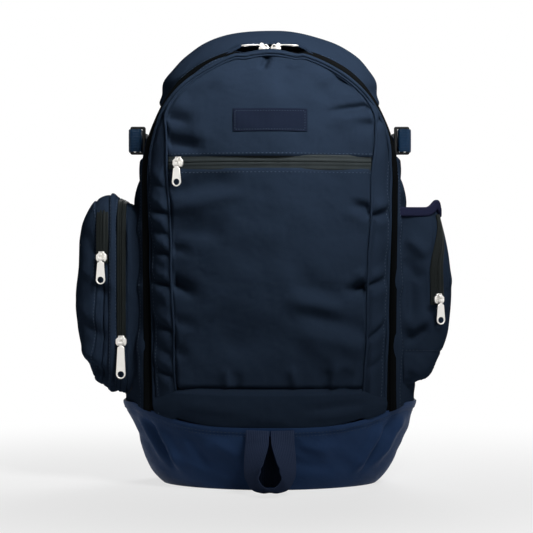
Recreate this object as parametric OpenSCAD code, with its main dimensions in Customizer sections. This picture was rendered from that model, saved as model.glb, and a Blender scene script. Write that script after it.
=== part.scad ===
// Day backpack for racket sports: clamshell body, coated base, two side pockets.
// Millimetres. The bag stands on z = 0, its front faces -Y and the origin is the middle of the base.

/* [Body] */
// Half width of the base at its seam
base_half_w = 162; // [150:1:175]
// Depth from the origin to the front of the base seam
base_front = 106; // [98:1:115]
// Depth from the origin to the back of the base seam
base_back = 92; // [88:1:100]
// Height of the base seam at the sides
seam_side_z = 88; // [80:1:100]
// Height of the base seam at the front
seam_front_z = 66; // [58:1:72]
// Top of the main compartment at the back
back_top = 500; // [490:1:520]
// How much the top of the body swells above a straight line
top_bulge = 16; // [8:1:20]
// Half width of the back panel
back_half_w = 138; // [128:1:145]
// How much the sides of the body swell
side_bulge = 16; // [8:1:22]
// Depth of the back panel's inner face
back_y = 84; // [80:1:90]
// Thickness of the padded cloth walls
wall = 3; // [2:0.5:4]
// Seam gap between sewn panels
seam_gap = 0.3; // [0.2:0.1:0.5]

/* [Lid] */
// Half width of the zip line between lid and body
zip_half_w = 131; // [124:1:138]
// Height of the zip line's top over the top of the front panel seam
zip_rise = 2; // [0:0.5:6]
// Depth of the zip line in front of the origin
zip_depth = 46; // [40:1:52]
// How far the zip line sweeps forward at the bottom
zip_sweep = 13; // [6:1:16]
// Half width of the front panel seam
front_half_w = 113; // [106:1:118]
// Top of the front panel seam
front_top = 470; // [462:1:476]
// Depth of the front panel seam in front of the origin
front_seam_y = 78; // [72:1:84]
// How far the front panel swells beyond its seam
front_belly = 26; // [16:1:26]
// Height of the seam above the lower front panel
lower_panel_top = 107; // [100:1:120]
// Height of the middle of the front zip
front_zip_z = 349.8; // [330:0.1:365]

/* [Zips] */
// Visible width of a zip tape
tape_w = 15; // [12:0.5:18]
// Thickness of a zip tape
tape_t = 1; // [0.8:0.1:1.4]
// Radius of the pin that holds a zip pull
pin_r = 1.1; // [0.9:0.1:1.3]
// Running clearance of a pull on its pin
pin_clear = 0.08; // [0.05:0.01:0.1]
// Length of a zip pull from its pin
pull_len = 24; // [20:1:28]
// Radius of the hole in a zip pull
pull_hole_r = 3.4; // [2.6:0.1:3.6]

/* [Pockets] */
// How far the left pocket stands out beyond the base seam
left_reach = 53; // [46:1:58]
// Lowest point of the left pocket
left_low = 99; // [95:1:110]
// Highest point of the left pocket
left_high = 321; // [300:1:325]
// Half depth of both side pockets
pocket_half_d = 54; // [46:1:55]
// How far the right pocket stands out beyond the base seam
right_reach_out = 40; // [34:1:46]
// Height of the right pocket's rim
right_rim = 302; // [290:1:308]
// Bottom of the right pocket
right_low = 112; // [105:1:125]
// Thickness of the pocket cloth
pocket_wall = 2; // [1.5:0.5:3]

/* [Straps] */
// Width of the side and shoulder webbing
webbing_w = 25; // [20:1:25]
// Thickness of the webbing
webbing_t = 1.6; // [1.2:0.1:2]
// Width of a shoulder pad at the top
pad_w = 60; // [50:1:64]
// Thickness of a shoulder pad
pad_t = 11; // [8:1:12]
// Height of the side compression straps
side_strap_z = 378; // [365:1:385]
// Drop of the haul loop from its pivot
haul_drop = 50; // [40:1:60]

/* [Hidden] */
$fn = 32;
// Roundness of the base seam, and of the arches at the zip, the back and the front seam
front_round = 1.8;
back_round = 5;
lid_round = 2.25;
body_round = 2.8;
seam_round = 1.65;
// Heights at which the arches leave their straight sides
lid_side_z = 330;
seam_side = 396;
body_side_z = 240;
zip_top = front_top + zip_rise;
zip_gap = 0.6;
seam_rise_depth = 76;
sweep_z = 200;
dome_share = 0.5;
foot_inset = 1;
foot_taper = 2;
// How the swelling of the body, the gusset and the front is spread
side_swell_n = 0.8;
top_swell_n = 1.5;
side_ease = 1.2;
gusset_swell = 3;
belly_n = 2.2;
belly_half = 20;
fade_n = 3;
fade_drop = 30;
fine = 0.02;
// Base and stiffener board
board_t = 2;
board_lift = 0.2;
board_half_w = 104;
board_r = 38;
board_d = 96;
boot_lean = 36;
boot_round = 10;
boot_round_n = 8;
boot_front_lean = 0.75;
// Back panel, its pads and the sleeve in front of it
back_panel_t = wall + 1;
back_face = back_y + seam_gap + back_panel_t;
pad_back_t = 8;
pad_corner = 12;
upper_pad = [190, 86];
upper_pad_z = back_top - 112;
side_pad = [96, 210];
side_pad_x = 60;
side_pad_z = 228;
sleeve = [220, 18, 270];
sleeve_z = 128;
sleeve_wall = 2;
slider_w = 12;
slider_h = 11;
slider_t = 3.2;
slider_notch_r = 3.4;
tape_lift = 0.4;
lock_t = 4;

// ---------------------------------------------------------------- small maths
function lerp(a, b, t) = a + (b - a) * t;
function clamp(t) = min(1, max(0, t));
function smooth(t) = let (c = clamp(t)) c * c * (3 - 2 * c);
function steps(n) = [for (i = [0:n]) i / n];
function side_of(t) = t < 0 ? -1 : 1;

// ---------------------------------------------------------------- solids from grids
function volume(p, faces) =
    let (parts = [for (f = faces) p[f[0]] * cross(p[f[1]], p[f[2]])])
    parts * [for (f = faces) 1];

// Faces wound so that their outside is outside, whichever way the grid runs
function outward(p, faces) =
    volume(p, faces) < 0 ? faces : [for (f = faces) [for (i = [len(f) - 1:-1:0]) f[i]]];

function flat(lists) = [for (l = lists) for (e = l) e];

// Two triangles for each cell between index rows a and b
function strip(a, b) = flat([for (i = [0:len(a) - 2])
    [[a[i], a[i + 1], b[i + 1]], [a[i], b[i + 1], b[i]]]]);

// Closed shell between two grids of points of one size, joined at their four edges
module skin(outer, inner) {
    rows = len(outer);
    cols = len(outer[0]);
    size = rows * cols;
    points = concat(flat(outer), flat(inner));
    function row(r, base) = [for (c = [0:cols - 1]) base + r * cols + c];
    function col(c, base) = [for (r = [0:rows - 1]) base + r * cols + c];
    function back(list) = [for (i = [len(list) - 1:-1:0]) list[i]];
    faces = concat(
        flat([for (r = [0:rows - 2]) strip(row(r, 0), row(r + 1, 0))]),
        flat([for (r = [0:rows - 2]) strip(back(row(r, size)), back(row(r + 1, size)))]),
        strip(row(0, size), row(0, 0)),
        strip(row(rows - 1, 0), row(rows - 1, size)),
        strip(col(0, 0), col(0, size)),
        strip(col(cols - 1, size), col(cols - 1, 0))
    );
    polyhedron(points, outward(points, faces), convexity = 8);
}

// Solid swept through rings of points of one size, with flat ends
module sweep(rings) {
    n = len(rings[0]);
    count = len(rings);
    points = flat(rings);
    function ring(r) = [for (c = [0:n]) r * n + c % n];
    faces = concat(
        flat([for (r = [0:count - 2]) strip(ring(r), ring(r + 1))]),
        [[for (c = [n - 1:-1:0]) c]],
        [[for (c = [0:n - 1]) (count - 1) * n + c]]
    );
    polyhedron(points, outward(points, faces), convexity = 8);
}

// Cup: outer rings end in a flat floor, inner rings end in a flat floor, joined at the rim
module tub(outer, inner) {
    n = len(outer[0]);
    count = len(outer);
    size = n * count;
    points = concat(flat(outer), flat(inner));
    function ring(r, base) = [for (c = [0:n]) base + r * n + c % n];
    function back(list) = [for (i = [len(list) - 1:-1:0]) list[i]];
    faces = concat(
        flat([for (r = [0:count - 2]) strip(ring(r, 0), ring(r + 1, 0))]),
        flat([for (r = [0:count - 2]) strip(back(ring(r, size)), back(ring(r + 1, size)))]),
        strip(ring(0, size), ring(0, 0)),
        [[for (c = [0:n - 1]) (count - 1) * n + c]],
        [[for (c = [n - 1:-1:0]) size + (count - 1) * n + c]]
    );
    polyhedron(points, outward(points, faces), convexity = 8);
}

// ---------------------------------------------------------------- form of the bag
// Half width of the base seam at depth y
function base_x(y) =
    let (deep = y < 0 ? base_front : base_back, n = y < 0 ? front_round : back_round)
    base_half_w * pow(max(0, 1 - pow(min(1, abs(y) / deep), n)), 1 / n);

// Height of the base seam at depth y: it dips towards the front
function seam_z(y) = lerp(seam_front_z, seam_side_z, smooth((y + base_front) / seam_rise_depth));

// Depth of the zip line at height z: it sweeps forward near the base
function zip_y(z) = -zip_depth - zip_sweep * pow(max(0, sweep_z - z) / (sweep_z - seam_side_z), 2);

// Superellipse dome over straight sides, at t from -1 (left foot) through 0 (top) to 1 (right foot)
function arch(t, half, low_half, low, side, top, n) =
    let (q = abs(t), a = 90 * (1 - q / dome_share), f = (1 - q) / (1 - dome_share))
    q < dome_share
        ? [side_of(t) * half * pow(cos(a), 2 / n), side + (top - side) * pow(sin(a), 2 / n)]
        : [side_of(t) * lerp(low_half, half, f), lerp(low, side, f)];

// Half width of such an arch at height z
function arch_half(z, half, low_half, low, side, top, n) =
    z < side ? lerp(low_half, half, clamp((z - low) / (side - low)))
             : half * pow(max(0, 1 - pow((z - side) / (top - side), n)), 1 / n);

// Sizes of the main body's arch, from v = 0 at the zip to v = 1 at the back panel
function body_half(v) = lerp(zip_half_w, back_half_w, v) + side_bulge * pow(sin(180 * v), side_swell_n);
function body_top(v) = lerp(zip_top, back_top, smooth(v)) + top_bulge * pow(sin(180 * v), top_swell_n);
function body_side(v) = lerp(lid_side_z, body_side_z, smooth(side_ease * v));
function body_n(v) = lerp(lid_round, body_round, smooth(side_ease * v));
function body_foot_y(v) = lerp(zip_y(seam_side_z), back_y, v);
function body_foot_half(v) = base_x(body_foot_y(v)) - foot_inset;

function body_point(t, v, inset) =
    let (foot = seam_z(body_foot_y(v)) + seam_gap,
         p = arch(t, body_half(v) - inset, body_foot_half(v) - inset, foot,
                  body_side(v), body_top(v) - inset, body_n(v)))
    [p[0], lerp(zip_y(p[1]), back_y, v), p[1]];

// Half width of the main body at depth y and height z
function body_x(y, z) =
    let (v = clamp((y - zip_y(z)) / (back_y - zip_y(z))))
    arch_half(z, body_half(v), body_foot_half(v), seam_z(body_foot_y(v)),
              body_side(v), body_top(v), body_n(v));

// Sizes of the lid's arch, from u = 0 at the zip to u = 1 at the front panel seam
function lid_half(u) = lerp(zip_half_w, front_half_w, u) + gusset_swell * sin(180 * u);
function lid_top(u) = lerp(zip_top, front_top, u);
function lid_n(u) = lerp(lid_round, seam_round, u);
function lid_side(u) = lerp(lid_side_z, seam_side, u);
function lid_foot_y(u) = lerp(zip_y(seam_side_z) - zip_gap, -front_seam_y, u);
function lid_foot_half(u) = min(lid_half(u) - foot_taper, base_x(lid_foot_y(u)) - foot_inset);

function lid_point(t, u, inset) =
    let (foot = seam_z(lid_foot_y(u)) + 2 * zip_gap,
         p = arch(t, lid_half(u) - inset, lid_foot_half(u) - inset, foot,
                  lid_side(u), lid_top(u) - inset, lid_n(u)))
    [p[0], lerp(zip_y(p[1]) - zip_gap, -front_seam_y, u), p[1]];

// Half width of the front panel seam at height z
function front_x(z) =
    arch_half(z, lid_half(1), lid_foot_half(1), seam_z(-front_seam_y), seam_side, front_top, seam_round);

// Half width of the panels that lie inside the seam
function inner_x(z) = let (e = wall + seam_gap)
    arch_half(z, lid_half(1) - e, lid_foot_half(1) - e, seam_z(-front_seam_y),
              seam_side, front_top - e, seam_round);

// Depth of the front panel: a belly that fades out under the top edge
function front_fade(z) =
    let (low = lid_side_z - fade_drop) 1 - pow(clamp((z - low) / (front_top - low)), fade_n);
function front_y(x, z) =
    let (across = min(1, abs(x) / max(belly_half, front_x(z))))
    -front_seam_y - front_belly * front_fade(z) * (1 - pow(across, belly_n));

// Panel of the front between heights low and high, offset outwards and inwards from the front surface
module front_panel(low, high, out, in, rows = 8, cols = 16) {
    function place(c, r, d) =
        let (z = lerp(low, high, sin(90 * r)), x = c * inner_x(z))
        [x, front_y(x, z) - d, z];
    function grid(d) = [for (r = steps(rows)) [for (c = [-1:2 / cols:1.001]) place(c, r, d)]];
    skin(grid(out), grid(in));
}

// ---------------------------------------------------------------- main body
function arch_steps(n) = [for (i = [-n:n]) i / n];

body_rows = [0, 0.03, 0.06, 0.15, 0.3, 0.45, 0.6, 0.8, 1];
module main_gusset() {
    function grid(d) = [for (v = body_rows) [for (t = arch_steps(14)) body_point(t, v, d)]];
    color([0.12, 0.16, 0.23]) skin(grid(0), grid(wall));
}

module back_plate(y, t) {
    outline = [for (s = arch_steps(14)) arch(s, back_half_w, body_foot_half(1),
        seam_z(back_y) + seam_gap, body_side_z, back_top, body_round)];
    translate([0, y + t, 0]) rotate([90, 0, 0]) linear_extrude(t) polygon(outline);
}

module back_panel() color([0.09, 0.11, 0.15]) back_plate(back_y + seam_gap, back_panel_t);

module back_pad(size, x, z) {
    inner = [size[0] / 2 - pad_corner, size[1] / 2 - pad_corner];
    color([0.07, 0.08, 0.1])
    translate([x, back_face + pad_back_t, z]) rotate([90, 0, 0]) linear_extrude(pad_back_t)
        union() {
            square([2 * inner[0], size[1]], center = true);
            square([size[0], 2 * inner[1]], center = true);
            for (sx = [-1, 1], sz = [-1, 1]) translate([sx * inner[0], sz * inner[1]]) circle(pad_corner);
        }
}

module back_pad_upper() back_pad(upper_pad, 0, upper_pad_z);
module back_pad_left() back_pad(side_pad, -side_pad_x, side_pad_z);
module back_pad_right() back_pad(side_pad, side_pad_x, side_pad_z);

// Share of the base's height, at ring r, and how far the wall has moved in there
function boot_z(r, y) = seam_z(y) * (1 - r);
function boot_in(r) = boot_lean * r + boot_round * pow(r, boot_round_n);

function boot_ring(r, inset, floor_z) = [for (i = [0:39])
    let (a = 360 * i / 40, n = sin(a) < 0 ? front_round : back_round,
         deep = sin(a) < 0 ? base_front : base_back,
         k = pow(pow(abs(cos(a)), n) + pow(abs(sin(a)), n), -1 / n),
         y = deep * k * sin(a), x = base_half_w * k * cos(a),
         d = boot_in(r) + inset, z = boot_z(r, y))
    [x * (1 - d / base_half_w), y * (1 - boot_front_lean * d / deep), max(z, floor_z)]];

module base_boot() {
    levels = [0, 0.3, 0.6, 0.85, 1];
    color([0.1, 0.16, 0.28])
    tub([for (r = levels) boot_ring(r, 0, 0)], [for (r = levels) boot_ring(r, wall, lerp(0, wall, r))]);
}

module base_board()
    color([0.1, 0.1, 0.1]) translate([0, 0, wall + board_lift]) linear_extrude(board_t) union() {
        square([2 * (board_half_w - board_r), board_d], center = true);
        for (s = [-1, 1]) translate([s * (board_half_w - board_r), 0]) circle(board_r);
    }

// Sleeve open at its top, with its back on the back panel
module inner_sleeve()
    color([0.2, 0.22, 0.26]) translate([-sleeve[0] / 2, back_y - sleeve[1], sleeve_z]) difference() {
        cube(sleeve);
        translate([sleeve_wall, sleeve_wall, sleeve_wall])
            cube([sleeve[0] - 2 * sleeve_wall, sleeve[1] - 2 * sleeve_wall, sleeve[2]]);
    }

module main_zip_tape() {
    function grid(d) = [for (i = [0:2]) [for (t = arch_steps(14)) body_point(t, body_rows[i], -d)]];
    color([0.13, 0.14, 0.15]) skin(grid(tape_lift + tape_t), grid(tape_lift));
}

// ---------------------------------------------------------------- straps
// Rectangle across a strap that runs in the YZ plane: centre c, half width w along X, slope angle a
function strap_ring(c, w, t, a) =
    let (dy = t / 2 * sin(a), dz = t / 2 * cos(a))
    [c + [-w, -dz, dy], c + [w, -dz, dy], c + [w, dz, -dy], c + [-w, dz, -dy]];

// Centre line of a shoulder pad, from its seam at the top (u = 0) to its lower end (u = 1)
pad_top_x = 62;
pad_low_x = 92;
pad_top_z = back_top - 42;
pad_low_z = 205;
pad_arch = 26;
pad_arch_n = 0.9;
pad_taper = 14;
pad_rise = 5;
function pad_out(u) = pad_back_t * smooth(pad_rise * u) + pad_arch * pow(sin(180 * u), pad_arch_n);
function pad_centre(u) = [
    lerp(pad_top_x, pad_low_x, smooth(u)),
    back_face + pad_t / 2 + seam_gap + pad_out(u),
    lerp(pad_top_z, pad_low_z, u)
];
function slope(a, b) = atan2(b[1] - a[1], a[2] - b[2]);
function pad_slope(u) = slope(pad_centre(clamp(u - fine)), pad_centre(clamp(u + fine)));
function pad_half(u) = lerp(pad_w, pad_w - pad_taper, u) / 2;

module shoulder_pad() color([0.1, 0.13, 0.19])
    sweep([for (u = steps(20)) strap_ring(pad_centre(u), pad_half(u), pad_t, pad_slope(u))]);

module shoulder_strap_right() shoulder_pad();
module shoulder_strap_left() mirror([1, 0, 0]) shoulder_pad();

// The lock hangs at the lower end of the pad and the webbing runs from it to the base
lock_top = pad_low_z - 1.4;
lock_h = 26;
lock_side = 5;
lock_hole_h = 7;
lock_hole_z = 6.5;
module strap_lock() color([0.05, 0.05, 0.06])
    translate([pad_centre(1)[0], pad_centre(1)[1], lock_top - lock_h / 2]) difference() {
        cube([webbing_w + 2 * lock_side, lock_t, lock_h], center = true);
        for (z = [-lock_hole_z, lock_hole_z])
            translate([0, 0, z]) cube([webbing_w + 2, lock_t * 2, lock_hole_h], center = true);
    }
module ladder_lock_right() strap_lock();
module ladder_lock_left() mirror([1, 0, 0]) strap_lock();

web_start = [0, (lock_t + webbing_t) / 2 + 0.3, -7];
web_inset = 46;
web_end = [base_half_w - web_inset, back_face + webbing_t / 2 + seam_gap, seam_side_z + 4];
web_bow = 6;
function webbing_route(u) = lerp(pad_centre(1) + web_start, web_end, u) + [0, web_bow * sin(180 * u), 0];
function webbing_slope(u) = slope(webbing_route(clamp(u - fine)), webbing_route(clamp(u + fine)));
module strap_web() color([0.1, 0.13, 0.2])
    sweep([for (u = steps(12)) strap_ring(webbing_route(u), webbing_w / 2, webbing_t, webbing_slope(u))]);
module strap_webbing_right() strap_web();
module strap_webbing_left() mirror([1, 0, 0]) strap_web();

// Haul loop: hangs behind the back panel from a sewn patch
haul_half = 20;
haul_web = 10;
haul_t = 2;
haul_y = back_face + pad_back_t + 3;
haul_z = back_top - 32;
anchor_h = 10;
module haul_anchor() color([0.1, 0.13, 0.2])
    translate([-haul_half, back_face, haul_z - haul_t])
        cube([2 * haul_half, haul_y - haul_t / 2 - seam_gap - back_face, anchor_h]);

module haul_loop() color([0.14, 0.15, 0.25])
    translate([0, haul_y + haul_t / 2, haul_z]) rotate([90, 0, 0]) linear_extrude(haul_t) union() {
        difference() {
            translate([-haul_half, -haul_drop + haul_half]) square([2 * haul_half, haul_drop - haul_half]);
            translate([-haul_half + haul_web, -haul_drop])
                square([2 * (haul_half - haul_web), haul_drop + 1]);
        }
        translate([0, -haul_drop + haul_half]) difference() {
            circle(haul_half);
            circle(haul_half - haul_web);
            translate([-haul_half, 0]) square([2 * haul_half, haul_half]);
        }
    }

// Bottom loop: webbing that leaves the base seam and hangs forward in a teardrop
loop_t = 2;
loop_z = seam_front_z - 0.5;
loop_y = -base_front - loop_t / 2 - seam_gap;
loop_reach = 44;
loop_drop = loop_z - 5;
loop_half = webbing_w / 2;
loop_gap = 0.3;
// Roundness of the loop's width, reach, drop and turn along its length
loop_wide_n = 0.6;
loop_reach_n = 1.3;
loop_drop_n = 0.75;
loop_turn_n = 1.6;
// Centre of the webbing from the left leg's seam (u = 0) round the bottom (0.5) to the right leg's seam
function loop_place(u) =
    let (across = cos(180 * u), down = sin(180 * u))
    [-side_of(across) * (loop_half + loop_gap) * pow(abs(across), loop_wide_n),
     loop_y - loop_reach * pow(down, loop_reach_n), loop_z - loop_drop * pow(down, loop_drop_n)];
// The webbing turns edge-on as it goes down, so that its width runs front to back at the bottom
function loop_turn(u) = 90 + side_of(u - 0.5) * 90 * pow(abs(2 * u - 1), loop_turn_n);
function loop_ring(u) =
    let (along = loop_place(clamp(u + fine / 2)) - loop_place(clamp(u - fine / 2)),
         across = [cos(loop_turn(u)), -sin(loop_turn(u)), 0],
         n = cross(along, across) / norm(cross(along, across)))
    [for (k = [[-1, -1], [1, -1], [1, 1], [-1, 1]])
        loop_place(u) + k[0] * loop_half * across + k[1] * loop_t / 2 * n];
module bottom_loop() color([0.14, 0.15, 0.25]) sweep([for (u = steps(32)) loop_ring(u)]);

// Side compression straps, drawn on the right
lock_y = -14;
lock_rim = 3;
lock_z = side_strap_z - webbing_w / 2 - lock_rim;
lock_x = body_x(lock_y + lock_t / 2, lock_z) + seam_gap;
lock_wide = 17;
lock_slot = 3.2;
lock_sill = 2;
lock_bar = (lock_wide - 2 * lock_slot) / 3;
slot_in = lock_x + lock_bar + lock_slot / 2;
slot_out = lock_x + 2 * lock_bar + 1.5 * lock_slot;
module side_lock() color([0.04, 0.04, 0.05])
    translate([lock_x, lock_y - lock_t / 2, lock_z]) difference() {
        cube([lock_wide, lock_t, webbing_w + 2 * lock_rim]);
        for (x = [lock_bar, 2 * lock_bar + lock_slot]) translate([x, -lock_t / 2, lock_sill])
            cube([lock_slot, 2 * lock_t, webbing_w + 2 * (lock_rim - lock_sill)]);
    }
module side_lock_right() side_lock();
module side_lock_left() mirror([1, 0, 0]) side_lock();

// From its seam along the body, through the lock's inner slot, over its middle bar and back through the outer
side_seam_y = 62;
side_rest_y = 30;
side_lift = 1.5;
side_low = side_strap_z - 11;
side_ahead = 5;
side_bend = 2.4;
side_bend_in = 1.6;
side_tail = [1.5, 28];
side_route = [
    [body_x(side_seam_y, side_low) + side_lift, side_seam_y],
    [body_x(side_rest_y, side_low) + side_lift, side_rest_y],
    [slot_in, lock_y + 4 * side_ahead],
    [slot_in, lock_y - side_ahead],
    [slot_in + side_bend_in, lock_y - side_ahead - side_bend],
    [slot_out - side_bend_in, lock_y - side_ahead - side_bend],
    [slot_out, lock_y - side_ahead],
    [slot_out, lock_y + side_tail[1] / 2],
    [slot_out + side_tail[0], lock_y + side_tail[1]]
];
function route_normal(i) =
    let (a = side_route[max(0, i - 1)], b = side_route[min(len(side_route) - 1, i + 1)], d = b - a)
    [d[1], -d[0]] / norm(d);
module side_strap() color([0.09, 0.2, 0.33])
    sweep([for (i = [0:len(side_route) - 1]) let (p = side_route[i], n = route_normal(i) * webbing_t / 2)
        [for (k = [[-1, -1], [1, -1], [1, 1], [-1, 1]])
            [p[0] + k[0] * n[0], p[1] + k[0] * n[1], side_strap_z + k[1] * webbing_w / 2]]]);
module side_strap_right() side_strap();
module side_strap_left() mirror([1, 0, 0]) side_strap();

// ---------------------------------------------------------------- left pocket
left_out = base_half_w + left_reach;
left_mid = (left_low + left_high) / 2 + 4;
left_root = body_half(0.4);
left_top_drop = 14;
// The pockets keep behind the zip line, however deep they are
pocket_back = 10;
pocket_y = pocket_back - zip_depth + pocket_half_d;
pocket_n = 5;
pocket_deep_n = 3.5;
pocket_top_n = 3;
pocket_floor_n = 2.3;
// Share of the pocket's outline at depth share s, by the roundness of that side
function swell(s, n) = pow(max(0, 1 - pow(s, n)), 1 / n);
// The pocket's top slopes down towards the body
function left_drop(s, up) = up < 0 ? 0 : left_top_drop * pow(1 - s, 2);
function left_point(s, a, inset) =
    let (k = pow(pow(abs(cos(a)), pocket_n) + pow(abs(sin(a)), pocket_n), -1 / pocket_n),
         tall = sin(a) < 0 ? left_mid - left_low : left_high - left_mid,
         share = swell(s, sin(a) < 0 ? pocket_floor_n : pocket_top_n),
         y = pocket_y + (pocket_half_d * swell(s, pocket_deep_n) - inset) * k * cos(a),
         z = left_mid + (tall * share - left_drop(s, sin(a)) - inset) * k * sin(a))
    [-(s == 0 ? body_x(y, z) + seam_gap : lerp(left_root + seam_gap, left_out - inset, s)), y, z];
function left_ring(s, inset) = [for (i = [0:31]) left_point(s, 360 * i / 32, inset)];
module left_pocket() {
    levels = [0, 0.25, 0.45, 0.65, 0.8, 0.92, 0.985];
    color([0.11, 0.15, 0.22])
    tub([for (s = levels) left_ring(s, 0)], [for (s = levels) left_ring(s, pocket_wall)]);
}

// Zip tape bent round the front of the left pocket between depth shares s0 and s1
module left_tape(s0, s1) {
    function grid(d) = [for (s = [s0, s1]) [for (a = [101.25:11.25:236.25]) left_point(s, a, -d)]];
    color([0.13, 0.14, 0.15]) skin(grid(tape_lift + tape_t), grid(tape_lift));
}
left_outer_s = 0.52;
left_inner_s = 0.2;
outer_half_s = 0.1;
inner_half_s = 0.07;
module left_outer_tape() left_tape(left_outer_s - outer_half_s, left_outer_s + outer_half_s);
module left_inner_tape() left_tape(left_inner_s - inner_half_s, left_inner_s + inner_half_s);

// ---------------------------------------------------------------- zip hardware
// Slider: travels up the Z axis, faces -Y, with its pull's pin along X
eye_w = 3.4;
ear_t = 1.2;
ear_gap = 0.3;
eye_r = pin_r + 1.2;
pin_y = -slider_t - eye_r - 0.1;
pin_z = -2.5;
module slider() color([0.88, 0.87, 0.84]) {
    difference() {
        translate([-slider_w / 2, -slider_t, -slider_h / 2]) cube([slider_w, slider_t, slider_h]);
        for (s = [-1, 1]) translate([s * (slider_w / 2 + 1), 0, slider_h / 2 + 1])
            rotate([90, 0, 0]) cylinder(r = slider_notch_r, h = 4 * slider_t, center = true);
    }
    for (s = [-1, 1]) translate([s * (eye_w / 2 + ear_gap + ear_t / 2), 0, pin_z]) {
        rotate([0, 90, 0]) translate([0, pin_y, 0]) cylinder(r = eye_r, h = ear_t, center = true);
        translate([-ear_t / 2, pin_y, -eye_r]) cube([ear_t, -pin_y - slider_t + 0.5, 2 * eye_r]);
    }
    translate([0, pin_y, pin_z]) rotate([0, 90, 0])
        cylinder(r = pin_r, h = eye_w + 2 * ear_gap + 2 * ear_t, center = true);
}

// Pull: eye on the slider's pin, plate that widens downwards, round hole near its end
pull_t = 1.6;
pull_top_w = 7.6;
pull_low_w = 10.6;
pull_rim = 1.5;
pull_neck = 5;
pull_shoulder = 4.2;
pull_corner = 2;
module pull(length) color([0.88, 0.87, 0.84]) translate([0, pin_y, pin_z]) difference() {
    union() {
        rotate([0, 90, 0]) cylinder(r = eye_r, h = eye_w, center = true);
        translate([-eye_w / 2, -pull_t / 2, -pull_neck]) cube([eye_w, pull_t, pull_neck]);
        translate([0, pull_t / 2, 0]) rotate([90, 0, 0]) linear_extrude(pull_t) polygon([
            [-pull_top_w / 2, -pull_shoulder], [pull_top_w / 2, -pull_shoulder],
            [pull_low_w / 2, pull_corner - length], [pull_low_w / 2 - pull_corner, -length],
            [pull_corner - pull_low_w / 2, -length], [-pull_low_w / 2, pull_corner - length]
        ]);
    }
    rotate([0, 90, 0]) cylinder(r = pin_r + pin_clear, h = 2 * eye_w, center = true);
    translate([0, 0, pull_hole_r + pull_rim - length]) rotate([90, 0, 0])
        cylinder(r = pull_hole_r, h = 4 * pull_t, center = true);
}

slider_lift = 2 * tape_lift + tape_t;
function left_front(s) = [-lerp(left_root, left_out, s), pocket_y - pocket_half_d * swell(s, 3.5)];
function left_tilt(s) = let (d = left_front(s + fine) - left_front(s - fine)) atan2(d[1], -d[0]);
module on_left(s, z) translate([each left_front(s), z]) rotate([0, 0, -left_tilt(s)])
    translate([0, -slider_lift, 0]) children();
left_outer_z = 250;
left_inner_z = 158;
module left_outer_slider() on_left(left_outer_s, left_outer_z) slider();
module left_outer_pull() on_left(left_outer_s, left_outer_z) pull(pull_len + 4);
module left_inner_slider() on_left(left_inner_s, left_inner_z) slider();
module left_inner_pull() on_left(left_inner_s, left_inner_z) pull(pull_len + 15);

// ---------------------------------------------------------------- right pocket
// Reach of the right pocket at height z: wide in the middle, drawn in at rim and floor
function right_reach(z) =
    let (up = (z - right_full_z) / (right_rim - right_full_z),
         down = (right_full_z - z) / (right_full_z - right_low))
    z > right_full_z ? right_out - rim_draw * pow(up, 2)
                     : lerp(right_floor, right_out, swell(down, pocket_floor_n));
right_out = base_half_w + right_reach_out;
right_floor = base_half_w - 7;
right_full_z = 218;
rim_draw = 14;
right_n = 3.2;
right_floor_share = 0.32;
right_floor_n = 0.6;
function right_point(z, a, inset) =
    let (k = pow(pow(abs(cos(a)), right_n) + pow(abs(sin(a)), right_n), -1 / right_n),
         y = pocket_y + (pocket_half_d - inset) * k * cos(a), root = body_x(y, z) + seam_gap)
    [root + max(0, right_reach(z) - inset - root) * k * sin(a), y, z];
module right_pocket() {
    heights = [0, 0.02, 0.08, 0.18, right_floor_share, 0.5, 0.7, 0.85, 1];
    least = 0.004;
    function floor_share(h) =
        h < right_floor_share ? pow(sin(90 * max(h, least) / right_floor_share), right_floor_n) : 1;
    function grid(d) = [for (h = heights) [for (a = [0:9:180])
        let (z = lerp(right_low + (d > 0 ? pocket_wall : 0), right_rim, h), p = right_point(z, a, d),
             root = body_x(p[1], z) + seam_gap)
        [root + (p[0] - root) * floor_share(h), p[1], z]]];
    color([0.11, 0.15, 0.22]) skin(grid(0), grid(pocket_wall));
}
binding_low = right_rim - 8;
binding_high = right_rim + 2;
binding_t = 1;
module right_binding() {
    function grid(d) = [for (z = [binding_low, binding_high]) [for (a = [0:9:180])
        let (p = right_point(min(z, right_rim), a, d)) [p[0], p[1], z]]];
    color([0.15, 0.14, 0.3]) skin(grid(-seam_gap - binding_t), grid(-seam_gap));
}
right_zip_a = 142;
right_zip_half_a = 8;
right_zip_low = 165;
right_zip_high = 285;
right_zip_step = 10;
module right_tape() {
    function grid(d) = [for (z = [right_zip_low:right_zip_step:right_zip_high])
        [for (k = [-1:1]) right_point(z, right_zip_a + k * right_zip_half_a, -d)]];
    color([0.13, 0.14, 0.15]) skin(grid(tape_lift + tape_t), grid(tape_lift));
}
right_zip_z = 204;
function right_tilt(z) = let (d = right_point(z, right_zip_a - 2, 0) - right_point(z, right_zip_a + 2, 0))
    atan2(d[1], d[0]);
module on_right() translate(right_point(right_zip_z, right_zip_a, 0))
    rotate([0, 0, right_tilt(right_zip_z)]) translate([0, -slider_lift - tape_lift, 0]) children();
module right_slider() on_right() slider();
module right_pull() on_right() pull(pull_len + 2);

// ---------------------------------------------------------------- lid
module lid_gusset() {
    function grid(d) = [for (u = steps(5)) [for (t = arch_steps(14)) lid_point(t, u, d)]];
    color([0.12, 0.16, 0.23]) skin(grid(0), grid(wall));
}

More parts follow.
